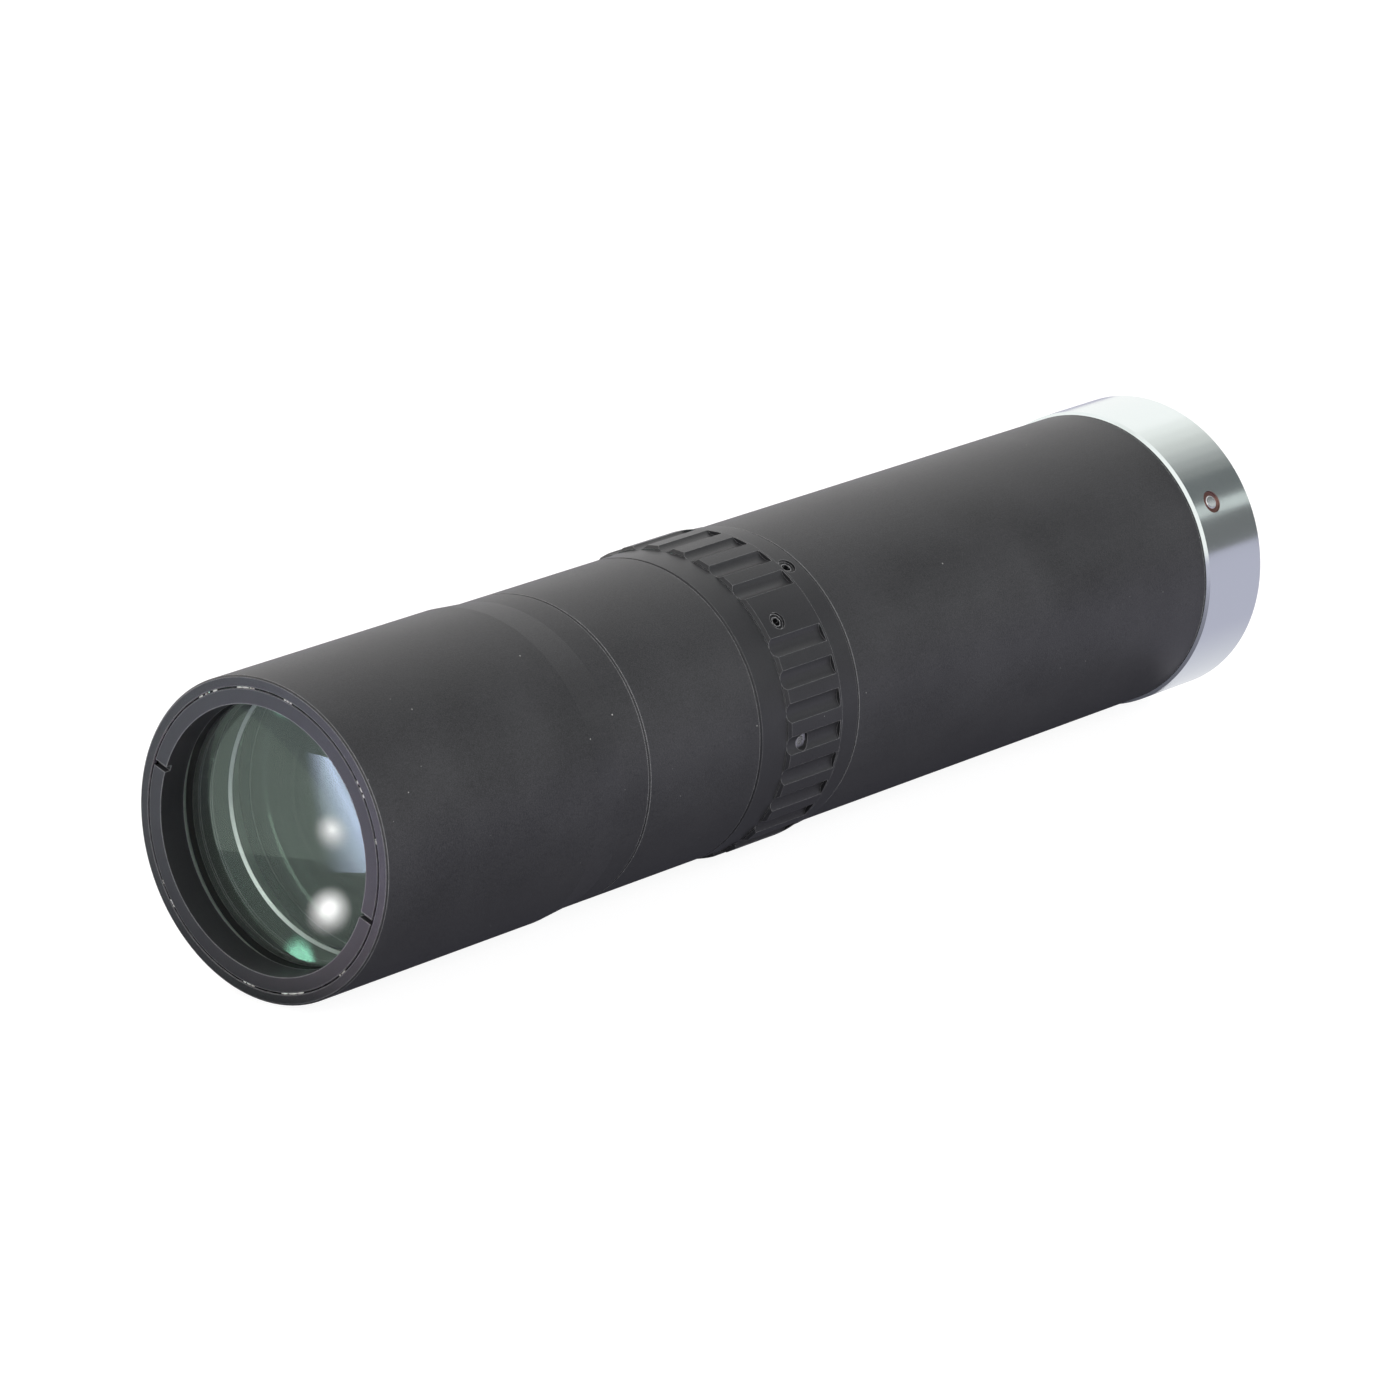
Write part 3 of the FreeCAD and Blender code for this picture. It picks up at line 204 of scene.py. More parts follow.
class GlassFinish(bpy.types.PropertyGroup):
    """Glass, its coating and the polished and ground surfaces of the front doublet."""

    coating_colour: FloatVectorProperty(
        name="Coating", description="Colour that the antireflection coating reflects",
        subtype="COLOR", size=3, min=0, max=1, default=(0.68, 0.95, 0.76))
    glass_colour: FloatVectorProperty(
        name="Glass", description="Tint of the light that passes through", subtype="COLOR",
        size=3, min=0, max=1, default=(0.93, 0.99, 0.95))
    # Edge paint made far lighter than black and tinted green: painted light on a band that lies
    # in shade, with a painted green reflection of the coating.
    edge_paint_and_painted_light_colour: FloatVectorProperty(
        name="Edge paint", description="Dark paint round the ground edge of a lens",
        subtype="COLOR", size=3, min=0, max=1, default=(0.40, 0.48, 0.42))
    shim_colour: FloatVectorProperty(
        name="Shim", description="Bright shim between the spacer and the doublet",
        subtype="COLOR", size=3, min=0, max=1, default=(0.50, 0.53, 0.51))
    shim_width: FloatProperty(
        name="Shim width", description="Width of the shim along the axis",
        subtype="DISTANCE", unit="LENGTH", min=0.0009, max=0.003, default=0.0011)
    cap_radius: FloatProperty(
        name="Polished radius", description="Radius of the doublet's polished front",
        subtype="DISTANCE", unit="LENGTH", min=0.01, max=0.023, default=0.0214)
    bevel_width: FloatProperty(
        name="Bevel", description="Width of the doublet's ground bevel", subtype="DISTANCE",
        unit="LENGTH", min=0.0001, max=0.003, default=0.0008)
    front_curve: FloatProperty(
        name="Front curve", description="Radius of the doublet's front surface",
        subtype="DISTANCE", unit="LENGTH", min=0.03, max=1, default=0.090)
    back_curve: FloatProperty(
        name="Back curve", description="Radius of the doublet's back surface",
        subtype="DISTANCE", unit="LENGTH", min=0.03, max=1, default=0.200)
    back_cap_radius: FloatProperty(
        name="Back cap", description="Radius of the doublet's polished back",
        subtype="DISTANCE", unit="LENGTH", min=0.01, max=0.023, default=0.0218)
    first_curve: FloatProperty(
        name="First lens, outside", description="Radius of the outer surface of the end lenses",
        subtype="DISTANCE", unit="LENGTH", min=0.03, max=1, default=0.150)
    second_curve: FloatProperty(
        name="First lens, inside", description="Radius of the inner surface of the end lenses",
        subtype="DISTANCE", unit="LENGTH", min=0.03, max=1, default=0.300)
    rim_width: FloatProperty(
        name="Rim", description="Flat rim round the polished surfaces of the end lenses",
        subtype="DISTANCE", unit="LENGTH", min=0.0005, max=0.005, default=0.0018)
    paint_thickness: FloatProperty(
        name="Paint", description="Thickness of the edge paint", subtype="DISTANCE",
        unit="LENGTH", min=0.00001, max=0.0005, default=0.00006)


class MountFinish(bpy.types.PropertyGroup):
    """Bright camera mount and its thread."""

    mount_colour: FloatVectorProperty(
        name="Mount", description="Satin chromed mount ring", subtype="COLOR",
        size=3, min=0, max=1, default=(0.87, 0.925, 0.91))
    thread_radius: FloatProperty(
        name="Thread radius", description="Crest radius of the camera thread",
        subtype="DISTANCE", unit="LENGTH", min=0.01, max=0.03, default=0.021)
    thread_pitch: FloatProperty(
        name="Pitch", description="Pitch of the camera thread", subtype="DISTANCE",
        unit="LENGTH", min=0.0002, max=0.003, default=0.001)
    thread_depth: FloatProperty(
        name="Depth", description="Depth of the camera thread", subtype="DISTANCE",
        unit="LENGTH", min=0.0001, max=0.001, default=0.0006)
    thread_turns: IntProperty(
        name="Turns", description="Turns of the camera thread", min=1, max=4, default=3)
    # Copper-brown tone on the set screws: a painted warm reflection.
    screw_and_reflection_colour: FloatVectorProperty(
        name="Set screws", description="Coppered steel of the mount's set screws",
        subtype="COLOR", size=3, min=0, max=1, default=(0.30, 0.15, 0.13))
    screw_angle: FloatProperty(
        name="Screw angle", description="Degrees from the near side to the first set screw",
        min=0, max=90, default=30.5)
    screws_round: IntProperty(
        name="Set screws round", description="Set screws round the mount", min=2, max=6,
        default=3)
    pin_radius: FloatProperty(
        name="Pin radius", description="Radius of the bright pin in a set screw",
        subtype="DISTANCE", unit="LENGTH", min=0.0003, max=0.002, default=0.00125)
    pin_length: FloatProperty(
        name="Pin length", description="Length of the pin", subtype="DISTANCE",
        unit="LENGTH", min=0.0002, max=0.002, default=0.00034)
    pin_recess: FloatProperty(
        name="Pin recess", description="Depth of the pin below the mount's surface",
        subtype="DISTANCE", unit="LENGTH", min=0, max=0.001, default=0.00005)


class StudioLight(bpy.types.PropertyGroup):
    """Levels of the soft studio light and the camera."""

    fill_level: FloatProperty(
        name="Fill", description="Light from the room on matt surfaces", min=0, max=5,
        default=0.3)
    key_level: FloatProperty(
        name="Key light", description="Strength of the soft light before the front", min=0,
        max=50, default=4.8)
    rim_level: FloatProperty(
        name="Rim light", description="Strength of the warm light on the far edge", min=0,
        max=50, default=6.0)
    front_level: FloatProperty(
        name="Front light", description="Strength of the light before the first lens", min=0,
        max=50, default=2.0)
    card_distance: FloatProperty(
        name="Card distance", description="Distance of the long cards from the axis",
        subtype="DISTANCE", unit="LENGTH", min=0.2, max=5, default=1.2)
    card_length: FloatProperty(
        name="Card length", description="Length of the long cards", subtype="DISTANCE",
        unit="LENGTH", min=0.5, max=20, default=5.0)
    lens_length: IntProperty(
        name="Focal length", description="Focal length in tenths of a millimetre", min=100,
        max=5000, default=1917)


def new_material(name):
    """An empty node material with its Principled shader, ready for its values."""
    material = bpy.data.materials.new(name)
    material.use_nodes = True
    return material, material.node_tree.nodes["Principled BSDF"]


def bare_material(name):
    """A node material with nothing in it yet, and its node tree."""
    material = bpy.data.materials.new(name)
    material.use_nodes = True
    material.node_tree.nodes.clear()
    return material, material.node_tree


def node(tree, kind, **values):
    """A node with its properties set, and its sockets where a value names one."""
    made = tree.nodes.new(kind)
    for name, value in values.items():
        if hasattr(made, name):
            setattr(made, name, value)
        else:
            made.inputs[name.replace("_", " ").title()].default_value = value
    return made


def join(tree, source, target):
    """A link from an output socket to an input socket."""
    tree.links.new(source, target)


def maths(tree, operation, first, second=None, clamp=False):
    """One Math node. A number becomes the socket's value and a socket is linked."""
    made = node(tree, "ShaderNodeMath", operation=operation, use_clamp=clamp)
    for index, value in enumerate((first, second)):
        if value is None:
            continue
        if isinstance(value, (int, float)):
            made.inputs[index].default_value = value
        else:
            join(tree, value, made.inputs[index])
    return made.outputs[0]


def rays_that_see(tree):
    """One for the camera's rays, reflections and rays through glass, else nothing."""
    path = node(tree, "ShaderNodeLightPath").outputs
    through = maths(tree, "MAXIMUM", path["Is Glossy Ray"], path["Is Transmission Ray"])
    return maths(tree, "MAXIMUM", path["Is Camera Ray"], through)


def new_group(name, inputs, outputs):
    """A shader node group with named sockets; an input is (name, kind, default)."""
    group = bpy.data.node_groups.new(name, "ShaderNodeTree")
    for label, kind, default in inputs:
        socket = group.interface.new_socket(label, in_out="INPUT", socket_type=kind)
        socket.default_value = default
    for label, kind in outputs:
        group.interface.new_socket(label, in_out="OUTPUT", socket_type=kind)
    entry = group.nodes.new("NodeGroupInput")
    leave = group.nodes.new("NodeGroupOutput")
    return group, entry.outputs, leave.inputs


def blasted_grain_group():
    """Fine bead blasted grain with a slow cloudy change of tone over it."""
    group, given, out = new_group(
        "Blasted Grain",
        [("Grain Scale", "NodeSocketFloat", 4500.0), ("Tone", "NodeSocketFloat", 0.2)],
        [("Height", "NodeSocketFloat"), ("Tone Factor", "NodeSocketFloat"),
         ("Roughness Shift", "NodeSocketFloat")])
    place = node(group, "ShaderNodeTexCoord").outputs["Object"]
    grain = node(group, "ShaderNodeTexNoise", detail=3.0, roughness=0.6)
    join(group, place, grain.inputs["Vector"])
    join(group, given["Grain Scale"], grain.inputs["Scale"])
    clouds = node(group, "ShaderNodeTexNoise", detail=4.0, roughness=0.55, scale=60.0)
    join(group, place, clouds.inputs["Vector"])
    join(group, grain.outputs["Fac"], out["Height"])
    speckle = maths(group, "SUBTRACT", grain.outputs["Fac"], 0.5)
    drift = maths(group, "SUBTRACT", clouds.outputs["Fac"], 0.5)
    both = maths(group, "ADD", maths(group, "MULTIPLY", speckle, 2.4), drift)
    change = maths(group, "MULTIPLY", both, given["Tone"])
    join(group, maths(group, "ADD", change, 1.0), out["Tone Factor"])
    join(group, maths(group, "MULTIPLY", drift, 0.14), out["Roughness Shift"])
    return group


def turned_lines_group():
    """Fine lines left by turning: rings on a face and hoops on a cylinder."""
    group, given, out = new_group(
        "Turned Lines",
        [("Lines", "NodeSocketFloat", 3500.0), ("Contrast", "NodeSocketFloat", 0.3)],
        [("Height", "NodeSocketFloat"), ("Tone Factor", "NodeSocketFloat")])
    place = node(group, "ShaderNodeTexCoord").outputs["Object"]
    split = node(group, "ShaderNodeSeparateXYZ")
    join(group, place, split.inputs[0])
    across = maths(group, "MULTIPLY", split.outputs["Y"], split.outputs["Y"])
    upward = maths(group, "MULTIPLY", split.outputs["Z"], split.outputs["Z"])
    radius = maths(group, "SQRT", maths(group, "ADD", across, upward))
    station = maths(group, "ADD", radius, split.outputs["X"])
    lines = node(group, "ShaderNodeTexNoise", noise_dimensions="1D", detail=4.0,
                 roughness=0.7)
    join(group, station, lines.inputs["W"])
    join(group, given["Lines"], lines.inputs["Scale"])
    join(group, lines.outputs["Fac"], out["Height"])
    swing = maths(group, "SUBTRACT", lines.outputs["Fac"], 0.5)
    change = maths(group, "MULTIPLY", swing, given["Contrast"])
    join(group, maths(group, "ADD", change, 1.0), out["Tone Factor"])
    return group


def edge_wear_and_highlight_group():
    """Mask of narrow outer edges, broken up by noise: partly handling wear, partly a painted
    highlight along the chamfers.
    """
    group, given, out = new_group(
        "Edge Wear And Painted Highlight",
        [("Width", "NodeSocketFloat", 0.0001), ("Amount", "NodeSocketFloat", 0.5)],
        [("Mask", "NodeSocketFloat")])
    rounded = node(group, "ShaderNodeBevel", samples=6)
    join(group, given["Width"], rounded.inputs["Radius"])
    flat = node(group, "ShaderNodeNewGeometry").outputs["True Normal"]
    turn = node(group, "ShaderNodeVectorMath", operation="DOT_PRODUCT")
    join(group, rounded.outputs[0], turn.inputs[0])
    join(group, flat, turn.inputs[1])
    bend = maths(group, "SUBTRACT", 1.0, turn.outputs["Value"])
    edge = maths(group, "MULTIPLY", bend, 7.0, clamp=True)
    place = node(group, "ShaderNodeTexCoord").outputs["Object"]
    breaks = node(group, "ShaderNodeTexNoise", scale=900.0, detail=3.0, roughness=0.6)
    join(group, place, breaks.inputs["Vector"])
    patchy = maths(group, "ADD", breaks.outputs["Fac"], 0.25, clamp=True)
    mask = maths(group, "MULTIPLY", maths(group, "MULTIPLY", edge, patchy), given["Amount"])
    join(group, mask, out["Mask"])
    return group


def dust_group():
    """Sparse pale specks of dust, of uneven size."""
    group, given, out = new_group(
        "Dust",
        [("Cells", "NodeSocketFloat", 420.0), ("Speck", "NodeSocketFloat", 0.05)],
        [("Mask", "NodeSocketFloat")])
    place = node(group, "ShaderNodeTexCoord").outputs["Object"]
    cells = node(group, "ShaderNodeTexVoronoi", feature="F1")
    join(group, place, cells.inputs["Vector"])
    join(group, given["Cells"], cells.inputs["Scale"])
    size = node(group, "ShaderNodeSeparateColor")
    join(group, cells.outputs["Color"], size.inputs[0])
    few = maths(group, "POWER", size.outputs[0], 5.0)
    reach = maths(group, "MULTIPLY", few, given["Speck"])
    inside = maths(group, "SUBTRACT", reach, cells.outputs["Distance"])
    join(group, maths(group, "MULTIPLY", inside, 60.0, clamp=True), out["Mask"])
    return group


def shared_group(name, build):
    """The named node group, built when it is first asked for."""
    return bpy.data.node_groups.get(name) or build()


def place_group(tree, name, build, **values):
    """A group node with its own values."""
    made = tree.nodes.new("ShaderNodeGroup")
    made.node_tree = shared_group(name, build)
    for label, value in values.items():
        made.inputs[label.replace("_", " ")].default_value = value
    return made.outputs


def tinted(tree, colour, factor):
    """A colour made lighter or darker by a factor that changes over the surface."""
    scale = node(tree, "ShaderNodeVectorMath", operation="SCALE")
    scale.inputs[0].default_value = tuple(colour)
    join(tree, factor, scale.inputs["Scale"])
    return scale.outputs[0]


def blended(tree, factor, first, second_colour):
    """A mix from a linked colour to a plain one."""
    mix = node(tree, "ShaderNodeMix", data_type="RGBA")
    join(tree, factor, mix.inputs["Factor"])
    join(tree, first, mix.inputs[6])
    mix.inputs[7].default_value = (*second_colour, 1.0)
    return mix.outputs[2]


def raised(tree, height, strength, distance):
    """A Bump node's normal from a height."""
    bump = node(tree, "ShaderNodeBump", strength=strength, distance=distance)
    join(tree, height, bump.inputs["Height"])
    return bump.outputs[0]


def anodised(name, colour, roughness, grain, lines, wear_and_highlight, dust):
    """Black anodising: blasted grain, turned lines, pale edges and a little dust. The pale edges
    are partly wear and partly a painted highlight along the chamfers.

    grain is (size, tone, bump), lines is (per metre, contrast, bump), wear_and_highlight is
    (width, amount, colour) and dust is the largest speck in parts of a cell."""
    material, shader = new_material(name)
    tree = material.node_tree
    grain_size, grain_tone, grain_bump = grain
    per_metre, contrast, line_bump = lines
    width, amount, bare_and_highlight = wear_and_highlight
    blasted = place_group(tree, "Blasted Grain", blasted_grain_group,
                          Grain_Scale=1 / grain_size, Tone=grain_tone)
    turned = place_group(tree, "Turned Lines", turned_lines_group,
                         Lines=per_metre, Contrast=contrast)
    edges = place_group(tree, "Edge Wear And Painted Highlight", edge_wear_and_highlight_group, Width=width, Amount=amount)
    specks = place_group(tree, "Dust", dust_group, Speck=dust)
    tone = maths(tree, "MULTIPLY", blasted["Tone Factor"], turned["Tone Factor"])
    # Pale edges over the grain: partly worn metal, partly a painted highlight.
    base = blended(tree, edges["Mask"], tinted(tree, colour, tone), bare_and_highlight)
    base = blended(tree, specks["Mask"], base, DUST_COLOUR)
    join(tree, base, shader.inputs["Base Color"])
    shader.inputs["Specular IOR Level"].default_value = bpy.context.scene.lens_barrel.shine
    join(tree, maths(tree, "ADD", blasted["Roughness Shift"], roughness, clamp=True),
         shader.inputs["Roughness"])
    height = maths(tree, "ADD", maths(tree, "MULTIPLY", blasted["Height"], grain_bump),
                   maths(tree, "MULTIPLY", turned["Height"], line_bump))
    join(tree, raised(tree, height, 1.0, 0.00002), shader.inputs["Normal"])
    return material


def bright_metal(name, colour, roughness, per_metre, line_bump, contrast=0.1):
    """Turned bright metal with fine hoops round the axis."""
    material, shader = new_material(name)
    tree = material.node_tree
    turned = place_group(tree, "Turned Lines", turned_lines_group,
                         Lines=per_metre, Contrast=contrast)
    blasted = place_group(tree, "Blasted Grain", blasted_grain_group, Tone=0.03)
    shader.inputs["Metallic"].default_value = 1.0
    join(tree, tinted(tree, colour, turned["Tone Factor"]), shader.inputs["Base Color"])
    join(tree, maths(tree, "ADD", blasted["Roughness Shift"], roughness, clamp=True),
         shader.inputs["Roughness"])
    join(tree, raised(tree, turned["Height"], line_bump, 0.00001), shader.inputs["Normal"])
    return material


def coated_glass(name, colour, coating):
    """Polished glass whose reflections take the coating's colour."""
    material, shader = new_material(name)
    tree = material.node_tree
    shader.inputs["Base Color"].default_value = (*colour, 1.0)
    shader.inputs["Roughness"].default_value = 0.0
    shader.inputs["IOR"].default_value = 1.52
    shader.inputs["Transmission Weight"].default_value = 0.98
    shader.inputs["Specular Tint"].default_value = (*coating, 1.0)
    shader.inputs["Specular IOR Level"].default_value = 0.8
    return material


def ground_glass(name, colour, roughness):
    """Fine ground glass or paint on it: matt, slightly cloudy."""
    material, shader = new_material(name)
    tree = material.node_tree
    blasted = place_group(tree, "Blasted Grain", blasted_grain_group, Tone=0.25,
                          Grain_Scale=6000.0)
    join(tree, tinted(tree, colour, blasted["Tone Factor"]), shader.inputs["Base Color"])
    join(tree, maths(tree, "ADD", blasted["Roughness Shift"], roughness, clamp=True),
         shader.inputs["Roughness"])
    join(tree, raised(tree, blasted["Height"], 0.4, 0.00002), shader.inputs["Normal"])
    return material


def dried_adhesive_and_glints(name):
    """Clear to brown thread adhesive, glossy where it has dried in the gap; its white patches are
    partly painted glints.
    """
    material, shader = new_material(name)
    tree = material.node_tree
    patches = node(tree, "ShaderNodeTexNoise", scale=700.0, detail=3.0)
    join(tree, node(tree, "ShaderNodeTexCoord").outputs["Object"], patches.inputs["Vector"])
    ramp = node(tree, "ShaderNodeValToRGB")
    ramp.color_ramp.elements[0].position = 0.28
    ramp.color_ramp.elements[0].color = (0.07, 0.040, 0.030, 1.0)
    # The white stop is partly painted glints in the thread gap.
    ramp.color_ramp.elements[1].position = 0.44
    ramp.color_ramp.elements[1].color = (0.78, 0.77, 0.73, 1.0)
    join(tree, patches.outputs["Fac"], ramp.inputs["Fac"])
    join(tree, ramp.outputs["Color"], shader.inputs["Base Color"])
    shader.inputs["Roughness"].default_value = 0.12
    shader.inputs["Coat Weight"].default_value = 0.6
    join(tree, raised(tree, patches.outputs["Fac"], 0.5, 0.00005), shader.inputs["Normal"])
    return material


def new_piece(name, bm, material, body, sharp=30.0):
    """A mesh object from a bmesh, shaded smooth up to an angle, riding on a body."""
    bmesh.ops.recalc_face_normals(bm, faces=bm.faces[:])
    mesh = bpy.data.meshes.new(name)
    bm.to_mesh(mesh)
    bm.free()
    kept = mesh.attributes.get("custom_normal")
    if kept:
        mesh.attributes.remove(kept)
    mesh.shade_smooth()
    mesh.set_sharp_from_angle(angle=math.radians(sharp))
    mesh.materials.append(material)
    piece = bpy.data.objects.new(name, mesh)
    bpy.context.scene.collection.objects.link(piece)
    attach(piece, body)
    return piece


class Outline:
    """A half section in the XZ plane, drawn point by point and then spun about the X axis."""

    def __init__(self, x, radius):
        self.bm = bmesh.new()
        self.tip = self.bm.verts.new((x, 0, radius))

    def line(self, x, radius):
        """A straight run to a station and radius."""
        made = bmesh.ops.extrude_vert_indiv(self.bm, verts=[self.tip])
        self.tip = made["verts"][0]
        self.tip.co = (x, 0, radius)
        return self

    def arc(self, centre_x, angle):
        """A run round a centre on the axis, counter-clockwise seen with X right and Z up."""
        made = bmesh.ops.spin(
            self.bm, geom=[self.tip], cent=(centre_x, 0, 0), axis=(0, -1, 0), angle=angle,
            steps=ARC_STEPS, use_merge=False, use_duplicate=False)
        self.tip = [item for item in made["geom_last"] if isinstance(item, bmesh.types.BMVert)][0]
        return self

    def turned(self):
        """The whole solid of revolution."""
        bmesh.ops.spin(
            self.bm, geom=self.bm.verts[:] + self.bm.edges[:], cent=(0, 0, 0), axis=(1, 0, 0),
            angle=COMPLETE_TURN, steps=ROUND_STEPS, use_merge=True, use_duplicate=False)
        bmesh.ops.remove_doubles(self.bm, verts=self.bm.verts[:], dist=MERGE_DISTANCE)
        return self.bm


def lens_blank(front, back, radius, rim_width, front_curve, back_curve):
    """A lens curved on both sides, with flat rims at two stations."""
    cap = radius - rim_width
    front_angle = math.asin(cap / front_curve)
    back_angle = math.asin(cap / back_curve)
    front_centre = front + front_curve * math.cos(front_angle)
    back_centre = back - back_curve * math.cos(back_angle)
    outline = Outline(front_centre - front_curve, 0).arc(front_centre, -front_angle)
    outline.line(front, radius).line(back, radius).line(back, cap)
    return outline.arc(back_centre, -back_angle).turned()


def adhesive_bead(bm, station, radius, start, arc, widths):
    """A run of dried adhesive round the axis, thicker and thinner along its length."""
    made = bmesh.ops.create_circle(bm, cap_ends=True, segments=10, radius=widths[0])
    loop = made["verts"]
    upright = Matrix.Rotation(math.pi / 2, 3, "X")
    bmesh.ops.rotate(bm, verts=loop, cent=(0, 0, 0), matrix=upright)
    bmesh.ops.translate(bm, verts=loop, vec=(station, 0, radius))
    bmesh.ops.rotate(bm, verts=loop, cent=(0, 0, 0), matrix=Matrix.Rotation(start, 3, "X"))
    last = widths[0]
    step = Matrix.Rotation(arc / (len(widths) - 1), 3, "X")
    for width in widths[1:]:
        edges = {edge for vert in loop for edge in vert.link_edges
                 if edge.other_vert(vert) in loop}
        made = bmesh.ops.extrude_edge_only(bm, edges=list(edges))
        loop = [item for item in made["geom"] if isinstance(item, bmesh.types.BMVert)]
        bmesh.ops.rotate(bm, verts=loop, cent=(0, 0, 0), matrix=step)
        centre = sum((vert.co for vert in loop), Vector()) / len(loop)
        bmesh.ops.scale(bm, vec=(width / last,) * 3, verts=loop,
                        space=Matrix.Translation(-centre))
        last = width
    bmesh.ops.contextual_create(bm, geom=loop)


def hoop(front, back, inner, outer):
    """A plain ring between two stations and two radii."""
    outline = Outline(front, inner).line(front, outer).line(back, outer).line(back, inner)
    outline.line(front, inner)
    return outline.turned()


class LENS_OT_finish_parts(bpy.types.Operator):
    """Give every part of the lens the finish of its material slot"""

    bl_idname = "lens.finish_parts"
    bl_label = "Finish Parts"

    def execute(self, context):
        barrel = context.scene.lens_barrel
        glass = context.scene.lens_glass
        mount = context.scene.lens_mount
        # Pale edges, partly worn metal and partly a painted highlight along the chamfers.
        wear_and_highlight = (barrel.edge_radius, 1.0, barrel.worn_and_highlight_edge_colour)
        light_wear_and_highlight = (barrel.edge_radius / 2, 0.6, barrel.worn_and_highlight_edge_colour)
        finishes = {
            "barrel_anodised": anodised(
                "Blasted Anodising", barrel.barrel_colour, 0.42,
                (barrel.grain_size, 0.85, 1.6), (2500.0, 0.06, 0.15), wear_and_highlight, 0.07),
            "ring_anodised": anodised(
                "Ring Anodising", barrel.ring_colour, 0.36,
                (barrel.grain_size, 0.40, 0.8), (3800.0, 0.20, 0.5), light_wear_and_highlight, 0.06),
            "retainer_anodised": anodised(
                "Turned Anodising", barrel.retainer_colour, 0.48,
                (barrel.grain_size, 0.25, 0.5), (5200.0, 0.22, 0.8), wear_and_highlight, 0.10),
            "inner_anodised": anodised(
                "Matt Black Anodising", barrel.inside_colour, 0.55,
                (barrel.grain_size, 0.15, 0.5), (3000.0, 0.30, 0.8), wear_and_highlight, 0.0),
            "optical_glass": coated_glass(
                "Coated Glass", glass.glass_colour, glass.coating_colour),
            "mount_metal": bright_metal(
                "Satin Chrome", mount.mount_colour, 0.17, 6000.0, 0.15),
            "bright_screw": bright_metal(
                "Bright Screw Steel", (0.85, 0.85, 0.84), 0.16, 9000.0, 6.0, 0.8),
            "black_screw": anodised(
                "Black Oxide Steel", (0.012, 0.012, 0.013), 0.30,
                (barrel.grain_size, 0.1, 0.3), (5000.0, 0.1, 0.3), wear_and_highlight, 0.0),
            "iris_brass": bright_metal(
                "Blackened Brass", (0.06, 0.055, 0.05), 0.45, 5000.0, 0.4),
            "blade_steel": bright_metal(
                "Blackened Blade Steel", (0.05, 0.05, 0.055), 0.38, 5000.0, 0.2),
        }
        for part in frame["record"]["subparts"]:
            mesh = frame["nodes"][part["node"]].data
            mesh.materials.clear()
            mesh.materials.append(finishes[part["material_slot"]])
        screws = frame["nodes"]["mount_set_screws"].data
        # The screws' copper-brown is a painted warm reflection.
        screws.materials[0] = bright_metal(
            "Screw With Painted Warm Reflection", mount.screw_and_reflection_colour, 0.30, 5000.0, 0.5)
        spacer = frame["nodes"]["front_spacer"].data
        # The spacer's colour carries painted light and a painted green reflection of the coating.
        spacer.materials[0] = anodised(
            "Spacer Anodising With Painted Reflection", barrel.spacer_and_reflection_colour, 0.45,
            (barrel.grain_size, 0.15, 0.5), (2600.0, 0.45, 0.8), wear_and_highlight, 0.05)
        return {"FINISHED"}


class LENS_OT_end_lenses(bpy.types.Operator):
    """Build the first and last lens with true polished curves"""

    bl_idname = "lens.end_lenses"
    bl_label = "End Lenses"

    def execute(self, context):
        glass = context.scene.lens_glass
        coated = bpy.data.materials["Coated Glass"]
        first = lens_blank(FIRST_LENS_FRONT, FIRST_LENS_BACK, GLASS_RADIUS, glass.rim_width,
                           glass.first_curve, glass.second_curve)
        polished = new_piece("polished_front_lens", first, coated, "barrel")
        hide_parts("front_lens")
        last = lens_blank(REAR_SPACER[1].x, REAR_RETAINER[0].x, REAR_GLASS_RADIUS,
                          glass.rim_width, glass.second_curve, glass.first_curve)
        polished = new_piece("polished_rear_lens", last, coated, "barrel")
        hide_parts("rear_lens")
        return {"FINISHED"}


